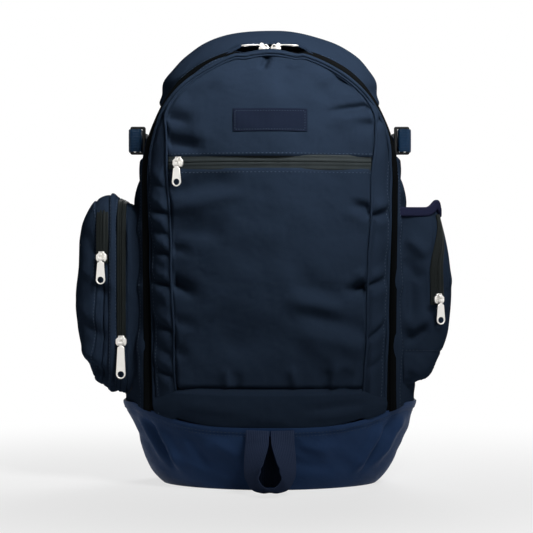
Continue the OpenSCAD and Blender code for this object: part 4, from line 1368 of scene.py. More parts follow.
    def lower(self) -> None:
        """Lower front panel: a puffed band from zip to zip, its rounded ends over the feet of the gusset.

        Each column keeps its place on the lid's section, front or gusset, while its height runs from the base
        seam to the band's top edge.
        """
        q = np.linspace(-1, 1, 301)
        turn = 0.8
        c = np.clip(q / turn, -1, 1)
        u = np.where(np.abs(q) > turn, lerp(1.0, 0.06, (np.abs(q) - turn) / (1 - turn)), 1.0)
        round_x = np.abs(c) * 0.113 / FORM.base_half_w
        seam = -FORM.base_front * np.maximum(0, 1 - round_x**1.8) ** (1 / 1.8)
        low_y = np.where(u < 1, lerp(FORM.zip_y(FORM.seam_side_z), -FORM.front_seam_y, u), seam)
        foot = FORM.seam_z(low_y) + 0.0014
        top = FORM.lower_top + 0.0015 - 0.0105 * past(np.abs(q), 0.78, 0.22)
        r = np.linspace(0, 1, 48)[:, None]
        z = lerp(foot[None], top[None], r)
        edge = FORM.lid_arch(u[None]).half_at(z)
        x = np.where(u < 1, np.sign(q) * edge, c * FORM.front_x(z, 0.0))
        side_y = lerp(FORM.zip_y(z) - 0.0006, -FORM.front_seam_y, u)
        p = xyz(x, np.where(u < 1, side_y, FORM.front_y(x, np.maximum(z, 0.08))), z)
        for _ in range(10):
            p[:, 1:-1] = (p[:, :-2] + 2 * p[:, 1:-1] + p[:, 2:]) / 4
        n = grid_normals(p, (0.0, 0.1, 0.09))
        puff = 0.0034 * np.sin(np.pi * np.clip(r, 0, 1)) ** 0.6 + 0.0008
        tuck = 0.0062 * past(r, 0.84, 0.16) * past(1.0, np.abs(q), 0.12)
        lift = puff - tuck + folded(self.band_folds, x, z) + 0.001 * dapple(x, z, 0.03, 71)
        p = p + n * (lift * past(1.004, np.abs(q), 0.02))[..., None]
        n = grid_normals(p, (0.0, 0.1, 0.09))
        band = Piece("front_lower").cloth(p, n, 0.0022)
        band.write("twill lining", "lid", "twill", "front_panel_lower")

    def lining(self) -> None:
        """Slack lining of the front pocket, sewn to the back of the front panel all round."""
        c = np.linspace(-1, 1, 81)[None, :]
        r = np.linspace(0, 1, 61)[:, None]
        z = lerp(FORM.lower_top + 0.006, FORM.front_zip_z - 0.0115, r)
        x = c * (FORM.front_x(z) - 0.005)
        slack = 0.004 * (1 - c**4) * (1 - np.abs(2 * r - 1) ** 4)
        y = FORM.front_y(x, z) + FORM.wall + FORM.gap + 0.012 + slack + 0.0008 * dapple(x, z, 0.04, 81)
        p = xyz(x, y, z)
        lining = Piece("pocket_lining").shell(p, p + (0, 0.0012, 0))
        lining.write("lining", "lid", "lining", "front_pocket_lining")

    def patch(self) -> None:
        """Bare woven patch with turned edges and a stitched border."""
        lo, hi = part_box("label_patch")
        x = np.linspace(lo[0], hi[0], 61)[None, :]
        z = np.linspace(lo[2], hi[2], 31)[:, None]
        base = self.front(x / FORM.front_x(z, 0.0016), z)
        e = np.minimum(np.minimum(x - lo[0], hi[0] - x), np.minimum(z - lo[2], hi[2] - z))
        lift = 0.0011 * smooth(e / 0.001 + 0.25) - 0.0003 * bell(e - 0.0022, 0.0006)
        p = base.copy()
        p[..., 1] -= lift + 0.0002 * dapple(x, z, 0.012, 91)
        n = grid_normals(p, BEHIND)
        Piece("woven_patch").shell(p, p + (0, 0.0008, 0)).write("patch", "lid", "patch", "label_patch")
        long, tall = slice(2, 59), slice(3, 28)
        rows = [(p[part], n[part]) for part in ((3, long), (27, long), (tall, 2), (tall, 58))]
        sew("patch_stitching", rows, "lid", "patch", length=0.0018, gap=0.001, r=0.00028)


@dataclass
class MainZips:
    """Tapes of the main zip and of the front pocket's zip."""

    body_share: float = 0.038
    lid_share: float = 0.1

    def build(self) -> None:
        """Makes the body's half, the lid's half and the front pocket's tape."""
        t = np.linspace(-1, 1, 701)[None, :]

        def body(a: Array, s: Array) -> Array:
            """Strip of the body beside the zip line."""
            return even_rows(FORM.body_point(t, (s + 1) / 2 * self.body_share), a.shape[1])

        def lid(a: Array, s: Array) -> Array:
            """Strip of the lid beside the zip line."""
            return even_rows(FORM.lid_point(t, (s + 1) / 2 * self.lid_share), a.shape[1])

        def front(a: Array, s: Array) -> Array:
            """Strip of the front behind the two panels' hems."""
            z = FORM.front_zip_z + s * FORM.tape_w / 2 * 1.06
            x = (a * 2 - 1) * FORM.front_x(z, 0.003)
            return xyz(x, FORM.front_y(x, z) + 0.0022, z)

        # The main zip's tapes take the near-black tape finish: black tape, its blackness partly painted shade of
        # the zip's recess.
        ZipTape("main_tape_body", "main_zip_tape", "shell", 560, 0.0045, half=True, proud=0.0016,
                finish="black_tape_and_shade", rim=FORM.body_rim).build(body)
        ZipTape("main_tape_lid", "lid_zip_tape", "lid", 560, 0.0035, half=True, proud=0.0016,
                finish="black_tape_and_shade", rim=FORM.lid_rim).build(lid)
        ZipTape("front_tape", "front_zip_tape", "lid", 240, away=BEHIND, proud=0.0006,
                finish="tape").build(front)


# --- pockets
def swell(s: Array, n: float) -> Array:
    """Share of a pocket's outline at depth share s, (1 - s^n)^(1/n)."""
    return np.maximum(0, 1 - np.minimum(np.abs(s), 1) ** n) ** (1 / n)


@dataclass
class LeftPocket:
    """Deep pocket on the left side with two zips round its front."""

    out: float = 0.215
    low: float = 0.099
    high: float = 0.321
    half_d: float = 0.054
    mid_y: float = 0.018
    outer_s: float = 0.52
    inner_s: float = 0.2
    folds: tuple[Fold, ...] = folds(
        (-2040, 1500, -1780, 1300, 50, 34, 16), (-2000, 1360, -1760, 1160, 40, -38, 14),
        (-1920, 1220, -1680, 1080, 50, 28, 14), (-2080, 2000, -1840, 1680, 80, 26, 16),
        (-2020, 1780, -1800, 1580, 50, -26, 16), (-2080, 2400, -1820, 2180, 70, 20, 16),
        (-1960, 2240, -1800, 2060, 45, -28, 16), (-1760, 2250, -1600, 2050, 60, 16, 16),
        (-2100, 2800, -1920, 2500, 60, -16, 16), (-1580, 2900, -1460, 2200, 50, 22, 14),
    )

    @property
    def heart(self) -> Triple:
        """Point inside the pocket."""
        return (-0.165, self.mid_y, 0.21)

    def root(self) -> float:
        """Distance of the pocket's seam from the middle of the bag."""
        return float(FORM.body_arch(0.4).half)

    def point(self, s: Array, a: Array) -> Array:
        """Point at depth share s and turn a: a superellipse of power 5 that swells inwards from the tip."""
        mid = (self.low + self.high) / 2 + 0.004
        cos, sin = rounded(a, 5)
        tall = np.where(sin < 0, mid - self.low, self.high - mid)
        grow = np.where(sin < 0, swell(s, 2.3), swell(s, 3.0))
        drop = np.where(sin < 0, 0, 0.014 * (1 - s) ** 2)
        y = self.mid_y + self.half_d * swell(s, 3.5) * cos
        z = mid + (tall * grow - drop) * sin
        x = np.where(s <= 1e-9, FORM.body_x(y, z) + FORM.gap, lerp(self.root() + FORM.gap, self.out, s))
        return xyz(-x, y, z)

    def surface(self, s: Array, a: Array) -> Array:
        """Points with folds, slack, a stuffed band between the zips and the pulled-in seams beside them."""
        p = self.point(s, a)
        n = grid_normals(p, self.heart, wrap=True)
        x, z = p[..., 0], p[..., 2]
        face = past(self.mid_y, p[..., 1], 0.03)
        lift = 1.6 * folded(self.folds, x, z) * face * smooth(s / 0.12)
        lift += 0.0018 * dapple(p[..., 1] + 0.6 * z, z - x, 0.035, 101) * smooth(s / 0.15)
        lift += 0.003 * bell(s - (self.outer_s + self.inner_s) / 2, 0.05) * face
        for seam in (self.outer_s - 0.105, self.outer_s + 0.115, self.inner_s + 0.085, self.inner_s - 0.085):
            lift -= 0.0014 * bell(s - seam, 0.012) * smooth(s / 0.05)
        lift -= 0.0026 * bell(s - self.outer_s + 0.02, 0.011) * past(0.243, z, 0.006) * face
        lift -= 0.0018 * bell(s - self.inner_s - 0.02, 0.01) * past(0.151, z, 0.006) * face
        outer = past(0.125, np.abs(s - self.outer_s), 0.025) * past(z, 0.236, 0.006)
        inner = past(0.1, np.abs(s - self.inner_s), 0.025) * past(z, 0.144, 0.006)
        under = np.maximum(outer, inner) * face
        lift = lift * (1 - under) - 0.001 * under
        lift += 0.0044 * bell(s - self.outer_s, 0.24) * past(z, 0.285, 0.025)
        lift += 0.0026 * bell(z - 0.14, 0.03) * smooth(s / 0.3)
        return p + n * lift[..., None]

    def build(self) -> None:
        """Makes the pocket, its tapes and its stitches."""
        s = np.concatenate([np.linspace(0, 0.9, 62), 1 - 0.1 * np.linspace(1, 0.02, 16)[1:] ** 1.6])[:, None]
        a = np.linspace(0, 2 * np.pi, 201)[:-1][None, :]
        p = self.surface(s, a)
        n = grid_normals(p, self.heart, wrap=True)
        pocket = Piece("left_pocket_cloth").cloth(p, n, 0.0018, wrap=True, tip=True)
        pocket.write("twill lining", "shell", "twill", "left_pocket")

        def strip(mid: float, half: float, stop: float) -> Callable[[Array, Array], Array]:
            """Strip of the pocket's front between two depth shares, from 100 degrees to a stop."""
            return lambda run, across: self.point(mid + across * half, np.radians(lerp(100.0, stop, run)))

        for name, sizes in (("outer", (self.outer_s, 0.1, 164.0)), ("inner", (self.inner_s, 0.075, 209.0))):
            ZipTape(f"left_tape_{name}", f"left_{name}_tape", away=self.heart).build(strip(*sizes))
        rows = [int(np.argmin(np.abs(s[:, 0] - at)))
                for at in (self.outer_s - 0.135, self.outer_s + 0.135, self.inner_s + 0.1)]
        sew("left_pocket_stitching", [(p[row, 56:132], n[row, 56:132]) for row in rows], "shell", "twill")


@dataclass
class RightPocket:
    """Open pocket on the right side, bound along its rim, with a slanted zip on its front."""

    out: float = 0.202
    rim: float = 0.302
    low: float = 0.108
    full_z: float = 0.218
    half_d: float = 0.054
    mid_y: float = 0.018
    zip_a: float = 142.0
    zip_drift: float = 13.0
    zip_low: float = 0.197
    zip_high: float = 0.296
    hem: float = 0.146
    foot: tuple[Triple, ...] = ((0.0058, 0.132, 0.024), (0.0028, 0.124, 0.01))
    folds: tuple[Fold, ...] = folds(
        (1500, 2700, 1720, 2500, 60, 22, 16), (1460, 2440, 1680, 2220, 60, -20, 16),
        (1500, 1680, 1760, 1860, 55, 30, 18), (1500, 1560, 1720, 1720, 40, -28, 16),
        (1720, 1940, 1880, 1760, 50, -26, 16), (1800, 2400, 1960, 2150, 60, 18, 16),
        (1530, 2320, 1560, 1800, 50, -26, 16), (1620, 1400, 1520, 1220, 40, 20, 16),
    )

    @property
    def heart(self) -> Triple:
        """Point inside the pocket."""
        return (0.15, self.mid_y, 0.21)

    def reach(self, z: Array) -> Array:
        """Reach of the pocket at height z: widest in the middle, drawn in at rim and floor."""
        full = self.full_z
        over = self.out - 0.014 * ((np.maximum(z, full) - full) / (self.rim - full)) ** 2
        depth = (full - np.minimum(z, full)) / (full - self.low)
        return np.where(z > full, over, lerp(0.155, self.out, swell(depth, 2.3)))

    def point(self, z: Array, a: Array, share: Array = 1.0) -> Array:
        """Point at height z and turn a from the back (0) to the front (180 degrees)."""
        cos, sin = rounded(a, 3.2)
        y = self.mid_y + self.half_d * cos
        root = FORM.body_x(y, z) + FORM.gap
        return xyz(root + np.maximum(0, self.reach(z) - root) * sin * share, y, z)

    def surface(self, h: Array, z: Array, a: Array) -> Array:
        """Outer surface at share h of the height: folded, slack, flat behind the zip and stuffed at its foot."""
        rise = np.pi / 2 * np.clip(np.maximum(h, 0.004) / 0.32, 0, 1)
        share = np.where(h < 0.32, np.sin(rise) ** 0.6, 1.0)
        p = self.point(z, a, share)
        n = grid_normals(p, self.heart)
        x = p[..., 0]
        ends = smooth(np.minimum(a, np.pi - a) / 0.15)
        lift = folded(self.folds, x, z) * past(self.mid_y, p[..., 1], 0.03)
        lift = (lift + 0.0013 * dapple(p[..., 1] + x, z, 0.035, 111)) * ends
        lift = lift * smooth(h / 0.1) * past(1.0, h, 0.08)
        lift = 2.2 * lift - 0.0014 * bell(z - self.hem, 0.0012) * ends
        way = (z - self.zip_low) / (self.zip_high - self.zip_low)
        drift = self.zip_a - self.zip_drift * past(way, 0.35, 0.65)
        under = smooth((10.5 - np.abs(np.degrees(a) - drift)) / 3.0) * past(z, 0.19, 0.006)
        lift = lift * (1 - under) - 0.0008 * under + bells(z, self.foot) * ends * smooth(h / 0.06)
        return p + n * lift[..., None]

    def strip(self, run: Array, across: Array) -> Array:
        """Slanted strip of the pocket's front, curving back to the rim at its top."""
        drift = self.zip_drift * past(run, 0.35, 0.65)
        turn = np.radians(self.zip_a - drift - across * lerp(6.5, 3.5, past(run, 0.6, 0.4)))
        return self.point(lerp(self.zip_low, self.zip_high, run), turn)

    def build(self) -> None:
        """Makes the pocket, its binding, its tape and its stitches."""
        h = (np.linspace(0, 1, 80) ** 1.2)[:, None]
        z = lerp(self.low, self.rim, h)
        p = self.surface(h, z, np.radians(np.linspace(0, 180, 121))[None, :])
        n = grid_normals(p, self.heart)
        pocket = Piece("right_pocket_cloth").cloth(p, n, 0.0018)
        pocket.write("twill lining", "shell", "twill", "right_pocket")
        self.binding()
        ZipTape("right_tape_cloth", "right_tape", count=120, away=self.heart, proud=0.0016).build(self.strip)
        hem, low = (int(np.argmin(np.abs(z[:, 0] - height))) for height in (self.hem, 0.2))
        rows = [(p[hem + 1], n[hem + 1]), (p[5:low, 78], n[5:low, 78])]
        sew("right_pocket_stitching", rows, "shell", "twill")

    def binding(self) -> None:
        """Binding folded over the rim, with a small peak where its end is tucked under in front."""
        a = np.radians(np.linspace(0, 180, 161))
        path = self.point(np.full(a.shape, self.rim - 0.003), a)
        n = grid_normals(np.stack([path, path + 0.01 * UP]), (0.15, self.mid_y, 0.31))[0]
        path = path + n * 0.0006 + xyz(0.0, 0.0, 0.0085 * bell(np.degrees(a) - 130.0, 8.0))
        binding = Piece("rim_binding").webbing(path, UP, 0.01, 0.0042)
        binding.write("binding", "shell", "binding", "right_binding")


# --- back and straps
@dataclass
class Back:
    """Back panel with three mesh pads, each blown up as a cushion and quilted."""

    pads: tuple[tuple[str, float, float, float, float], ...] = (
        ("back_pad_upper", 0.19, 0.086, 0.0, 0.388),
        ("back_pad_left", 0.096, 0.21, -0.06, 0.228),
        ("back_pad_right", 0.096, 0.21, 0.06, 0.228),
    )

    def build(self) -> None:
        """Makes the panel and its pads."""
        self.panel()
        for name, w, h, x, z in self.pads:
            self.pad(name, w, h, x, z)

    def panel(self) -> None:
        """Panel of close cloth on foam: rings of the arch that close in the middle."""
        t = np.linspace(-1, 1, 401)
        x, z = FORM.body_arch(1.0).at(t)
        arc = resample(xyz(x, 0.0, z), 220)
        foot = xyz(np.linspace(arc[-1, 0], arc[0, 0], 62)[1:-1], 0.0, arc[0, 2])
        ring = np.concatenate([arc, foot])
        mid = np.array([0.0, 0.0, 0.27])
        r = np.linspace(1.0, 0.04, 36)[:, None, None]
        p = mid + (ring[None] - mid) * r
        swellings = 0.0008 * past(1, r[..., 0], 0.05) + 0.0004 * dapple(p[..., 0], p[..., 2], 0.05, 121)
        p[..., 1] = FORM.back_y + FORM.gap + FORM.wall + swellings - 0.0006
        inner = p.copy()
        inner[..., 1] = FORM.back_y + FORM.gap
        flat = np.concatenate([p, p[:, :1]], axis=1)[..., [0, 2]]
        panel = Piece("back_cloth").shell(p, inner, wrap=True, tip=True, lined=1, flat=flat)
        panel.write("back lining", "shell", "back_cloth", "back_panel")

    def pad(self, name: str, w: float, h: float, x: float, z: float) -> None:
        """One pad: a rounded block blown up by cloth pressure, flat where it is sewn to the panel.

        Args:
            name: packed pad that it replaces.
            w: width.
            h: height.
            x: middle along X.
            z: middle along Z.
        """
        thick, slim, face = 0.008, 0.0012, FORM.back_face
        outline = box_outline(-w / 2 + slim, w / 2 - slim, -h / 2 + slim, h / 2 - slim, 0.011)
        block = plate(outline, [], thick - 2 * slim, 0.0018)
        block.name = name + "_mesh"
        block.data.transform(move(x, face + thick / 2 + 0.0002, z))
        bpy.context.scene.collection.objects.link(block)
        blow_up(block, 0.0045, 3.0, 0.003, floor_y=face + 0.0002)
        block.data.materials.clear()
        block.data.materials.append(WARDROBE.get("mesh"))
        quilt(block, z, h, face)
        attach(block, "shell")
        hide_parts(name)
        LOG.info("%s: padded", block.name)


def blow_up(obj: bpy.types.Object, voxel: float, pressure: float, cap: float, floor_y: float) -> None:
    """Blows a closed mesh up with cloth pressure and applies the result.

    The mesh is remeshed, run for 20 frames without gravity, and each point's move is held under the cap.
    No point goes into the panel.

    Args:
        obj: object to swell.
        voxel: voxel size of the remesh.
        pressure: cloth pressure.
        cap: furthest that a point may move.
        floor_y: depth of the panel that the piece is sewn to.
    """
    bpy.context.view_layer.objects.active = obj
    for other in bpy.context.selected_objects:
        other.select_set(False)
    obj.select_set(True)
    remesh = obj.modifiers.new("remesh", "REMESH")
    remesh.mode, remesh.voxel_size = "VOXEL", voxel
    bpy.ops.object.modifier_apply(modifier=remesh.name)
    start = read(obj.data.vertices, "co", 3)
    cloth = obj.modifiers.new("cloth", "CLOTH")
    cloth.settings.use_pressure = True
    cloth.settings.uniform_pressure_force = pressure
    cloth.settings.effector_weights.gravity = 0.0
    cloth.settings.quality = 5
    scene = bpy.context.scene
    for step in range(1, 21):
        scene.frame_set(step)
    shape = obj.evaluated_get(bpy.context.evaluated_depsgraph_get()).data
    travel = read(shape.vertices, "co", 3) - start
    obj.modifiers.remove(cloth)
    scene.frame_set(1)
    size = np.linalg.norm(travel, axis=1, keepdims=True)
    start = start + travel * np.minimum(1.0, cap / np.maximum(size, 1e-9))
    start[:, 1] = np.maximum(start[:, 1], floor_y)
    obj.data.vertices.foreach_set("co", start.ravel())
    obj.data.update()
    divide = obj.modifiers.new("divide", "SUBSURF")
    divide.levels = divide.render_levels = 1
    bpy.ops.object.modifier_apply(modifier=divide.name)
    obj.data.shade_smooth()


def quilt(obj: bpy.types.Object, z: float, h: float, back: float) -> None:
    """Presses two sewn channels across a pad, at a third and two thirds of its height.

    Each channel is a bell of half width 2.8 mm that goes three quarters of the way down to 4 mm of foam.

    Args:
        obj: the pad.
        z: its middle along Z.
        h: its height.
        back: depth of the panel.
    """
    mesh = obj.data
    p = read(mesh.vertices, "co", 3)
    press = np.clip(sum(bell(p[:, 2] - z + side * h / 6, 0.0028) for side in (-1, 1)), 0, 1)
    top = p[:, 1] > back + 0.003
    p[:, 1] = np.where(top, lerp(p[:, 1], back + 0.004, 0.75 * press), p[:, 1])
    mesh.vertices.foreach_set("co", p.ravel())
    index = read(mesh.loops, "vertex_index", 1, np.int32)[:, 0]
    mesh.uv_layers.new(name="cloth").data.foreach_set("uv", p[index][:, [0, 2]].astype(np.float32).ravel())
    mesh.update()


@dataclass
class ShoulderStraps:
    """Two padded straps, the webbing under them and the ladder locks between."""

    pad_w: float = 0.06
    pad_t: float = 0.011
    top_z: float = 0.458
    low_z: float = 0.205

    def centre(self, u: Array) -> Array:
        """Middle of a pad at share u: it leaves the panel, arches out behind it and comes back below."""
        arch = 0.008 * smooth(5 * u) + 0.026 * np.sin(np.pi * np.clip(u, 0, 1)) ** 0.9
        y = FORM.back_face + self.pad_t / 2 + FORM.gap + arch
        return xyz(lerp(0.062, 0.092, smooth(u)), y, lerp(self.top_z, self.low_z, u))

    def build(self) -> None:
        """Makes both sides."""
        for side, name in ((1, "right"), (-1, "left")):
            self.pad(side, name)
            self.webbing(side, name)
            self.lock(name)

    def pad(self, side: int, name: str) -> None:
        """Padded strap: a rounded section that narrows downwards, bound and stitched along both edges."""
        u = np.linspace(0, 1, 90)
        mid = self.centre(u)
        tangent = unit(np.gradient(mid, axis=0) * np.array([0, 1, 1]))
        out = xyz(0.0, -tangent[:, 2], tangent[:, 1])
        half = lerp(self.pad_w, self.pad_w - 0.014, u) / 2
        cos, sin = rounded(np.linspace(0, 2 * np.pi, 41)[:-1], 3.2)
        ends = np.minimum(1.0, 0.35 + smooth(np.minimum(u, 1 - u) / 0.05))
        w = half[:, None] * cos[None]
        t = (self.pad_t / 2 * ends)[:, None] * sin[None]
        t = t * (1 - 0.25 * bell(np.abs(w) - half[:, None] + 0.0065, 0.0022))
        mirror = np.array([side, 1, 1])
        rings = (mid[:, None] + w[..., None] * ACROSS + t[..., None] * out[:, None]) * mirror
        ring_w = np.concatenate([w, w[:, :1]], axis=1)
        flat = np.stack(np.broadcast_arrays(ring_w, along(mid)[:, None]), axis=2)
        pad = Piece(f"shoulder_pad_{name}").sweep(rings, flat)
        pad = pad.write("twill", "shell", "strap_pad", f"shoulder_strap_{name}")
        trim = Piece(f"strap_edges_{name}")
        thread = Piece(f"strap_stitching_{name}")
        for edge in (-1, 1):
            line = mid.copy()
            line[:, 0] += edge * (half - 0.0006)
            trim.sweep(tube(resample(line * mirror, 90), 0.0028, 8))
            row = mid + out * (self.pad_t / 2 * 0.8)
            row[:, 0] += edge * (half - 0.0065)
            thread.stitches(row[3:-3] * mirror, out[3:-3], rise=0.0)
        trim.write("strap", "shell", "binding")
        thread.write("thread", "shell", "strap_pad")

    def webbing(self, side: int, name: str) -> None:
        """Webbing from the ladder lock down to the base seam, in one shallow bow."""
        u = np.linspace(0, 1, 60)[:, None]
        a = self.centre(np.array(1.0)) + (0, 0.0031, -0.007)
        b = np.array([0.116, FORM.back_face + 0.0011, FORM.seam_side_z + 0.004])
        path = (lerp(a, b, u) + np.array([0, 0.006, 0]) * np.sin(np.pi * u)) * (side, 1, 1)
        strap = Piece(f"lower_webbing_{name}").webbing(path, ACROSS, 0.025, 0.0016)
        strap.write("strap", "shell", "webbing", f"strap_webbing_{name}")

    def lock(self, name: str) -> None:
        """Ladder lock with rounded bars."""
        lo, hi = corners(f"ladder_lock_{name}")
        w, h = (hi - lo)[[0, 2]]
        edge = w / 2 - 0.004
        slots = [box_outline(-edge, edge, z - 0.0035, z + 0.0035, 0.001, 2) for z in (-0.0065, 0.0065)]
        body = plate(box_outline(-w / 2, w / 2, -h / 2, h / 2, 0.003), slots, 0.004, 0.0011)
        lock = Piece(f"strap_lock_{name}").borrow(body, move(*(lo + hi) / 2))
        lock.write("plastic", "shell", "buckle", f"ladder_lock_{name}")


@dataclass
class Loops:
    """Haul loop behind the top and the webbing loop under the front."""

    haul_half: float = 0.015
    bottom_tilt: float = 15.0

    def build(self) -> None:
        """Makes both loops and the haul loop's sewn patch."""
        self.haul()
        self.bottom()

    def haul(self) -> None:
        """Haul loop: webbing in a U that hangs from its sewn ends."""
        lo, hi = corners("haul_loop")
        half, y, low = self.haul_half, (lo[1] + hi[1]) / 2, lo[2] + 0.005
        a = np.linspace(np.pi, 2 * np.pi, 41)
        bend = xyz(half * np.cos(a), y, low + half + half * np.sin(a))
        left = xyz(-half, y, np.linspace(hi[2], low + half, 15)[:-1])
        path = np.concatenate([left, bend, left[::-1] * (-1, 1, 1)])
        across = np.cross(unit(np.gradient(path, axis=0)), np.array([0, 1.0, 0]))
        loop = Piece("haul_webbing").webbing(path, across, 0.01, 0.002)
        loop.write("webbing", "haul_loop", "webbing", "haul_loop")
        lo, hi = corners("haul_anchor")
        mid = (lo + hi) / 2
        outline = box_outline(lo[0] - mid[0], hi[0] - mid[0], lo[2] - mid[2], hi[2] - mid[2], 0.0015)
        tab = plate(outline, [], (hi - lo)[1], 0.0008)
        Piece("haul_patch").borrow(tab, move(*mid)).write("strap", "shell", "webbing", "haul_anchor")

    def place(self, u: Array) -> tuple[Array, Array]:
        """Middle and width direction of the bottom loop's webbing at share u.

        Each run starts flat beside the other, turns edge-on as it goes down, and leans in to the bottom,
        which lies front to back with its front edge a little higher.
        """
        h = 1 - np.abs(2 * u - 1)
        knots = np.array([
            (0.0, 13.1, 65.5, 0.0, 0.0), (0.25, 13.6, 52.0, 4.5, 10.0), (0.5, 16.2, 37.0, 14.0, 30.0),
            (0.7, 18.0, 24.0, 25.0, 50.0), (0.85, 14.6, 13.2, 34.0, 64.0), (0.95, 6.6, 7.6, 39.0, 79.0),
            (1.0, 0.0, 6.2, 40.5, 90.0)])
        x, z, y, turn = (np.interp(h, knots[:, 0], knots[:, k]) for k in (1, 2, 3, 4))
        side = np.sign(u - 0.5)
        path = xyz(side * x * MM, -FORM.base_front - 0.0013 - y * MM, z * MM)
        angle = np.radians(turn)
        tilt = math.radians(self.bottom_tilt)
        tip = tilt * np.sin(angle)
        across = xyz(-side * np.cos(angle), -np.sin(angle) * np.cos(tip), np.sin(angle) * np.sin(tip))
        across[side == 0] = (0.0, -math.cos(tilt), math.sin(tilt))
        return soften(path, 12), unit(soften(across, 12))

    def bottom(self) -> None:
        """Bottom loop of webbing in its teardrop, a dark backing strip on the base whose darkness partly paints
        the shade seen through the loop, and its bar tack.
        """
        path, across = self.place(np.linspace(0, 1, 161))
        loop = Piece("bottom_webbing").webbing(path, across, 0.025, 0.0018)
        loop.write("webbing", "bottom_loop", "webbing", "bottom_loop")
        # Backing strip of the darker strap webbing: its darkness partly paints the shade inside the loop's
        # opening.
        r = np.linspace(0.1, 0.93, 40)
        inset = 0.034 * r + 0.01 * r**8
        proud = lerp(0.0004, 0.0045, past(r, 0.1, 0.3))
        back = xyz(0.0, -FORM.base_front + 0.48 * inset - proud, FORM.seam_front_z * (1 - r))
        Piece("loop_backing_and_shade").webbing(back, ACROSS, 0.038, 0.0016).write("strap", "shell", "webbing")
        row = xyz(np.linspace(-0.0245, 0.0245, 60), path[0, 1] - 0.0011, 0.0632)
        ahead = np.tile([0.0, -1.0, 0.0], (60, 1))
        sew("loop_bar_tack", [(row, ahead)], "bottom_loop", "webbing", length=0.003, gap=0.0008, rise=0.0)


@dataclass
class SideStraps:
    """Compression straps on both sides, each through a ladder lock."""

    height: float = 0.378
    lock_y: float = -0.014
    wide: float = 0.017
    slot: float = 0.0032

    @staticmethod
    def off(y: float, z: float) -> float:
        """Half width of the body at a depth and height."""
        return float(FORM.body_x(y, z))

    def path(self, inn: float, edge: float) -> Array:
        """Line of the right webbing: along the body, through a slot at inn and back over the lock's edge."""
        z, front = self.height, self.lock_y - 0.0044
        knots = np.array([
            (self.off(0.062, z - 0.01) + MM, 0.062), (self.off(0.03, z - 0.012) + MM, 0.03), (inn, 0.006),
            (inn, self.lock_y - 0.005), (inn + 0.0016, front), (edge - MM, front),
            (edge + 0.0012, self.lock_y - 0.002), (edge + 0.0014, 0.0), (edge + MM, 0.014)])
        return soften(resample(xyz(knots[:, 0], knots[:, 1], z), 90), 3)

    def build(self) -> None:
        """Makes both straps and locks."""
        low = self.height - 0.0155
        root = self.off(self.lock_y + 0.002, low) + FORM.gap - FORM.lock_dent
        bar = (self.wide - 2 * self.slot) / 3
        path = self.path(root + bar + self.slot / 2, root + self.wide)
        for side, name in ((1, "right"), (-1, "left")):
            strap = Piece(f"side_webbing_{name}").webbing(path * (side, 1, 1), UP, 0.025, 0.0015)
            strap.write("side", "shell", "side_webbing", f"side_strap_{name}")
            holes = [box_outline(x, x + self.slot, low + 0.0028, low + 0.0282, 0.0009, 3)
                     for x in (root + bar, root + 2 * bar + self.slot)]
            body = plate(box_outline(root, root + self.wide, low, low + 0.031, 0.0022), holes, 0.004, 0.001)
            place = Matrix.Scale(side, 4, ACROSS) @ move(0, self.lock_y, 0)
            lock = Piece(f"side_buckle_{name}").borrow(body, place)
            lock.write("plastic", "shell", "buckle", f"side_lock_{name}")


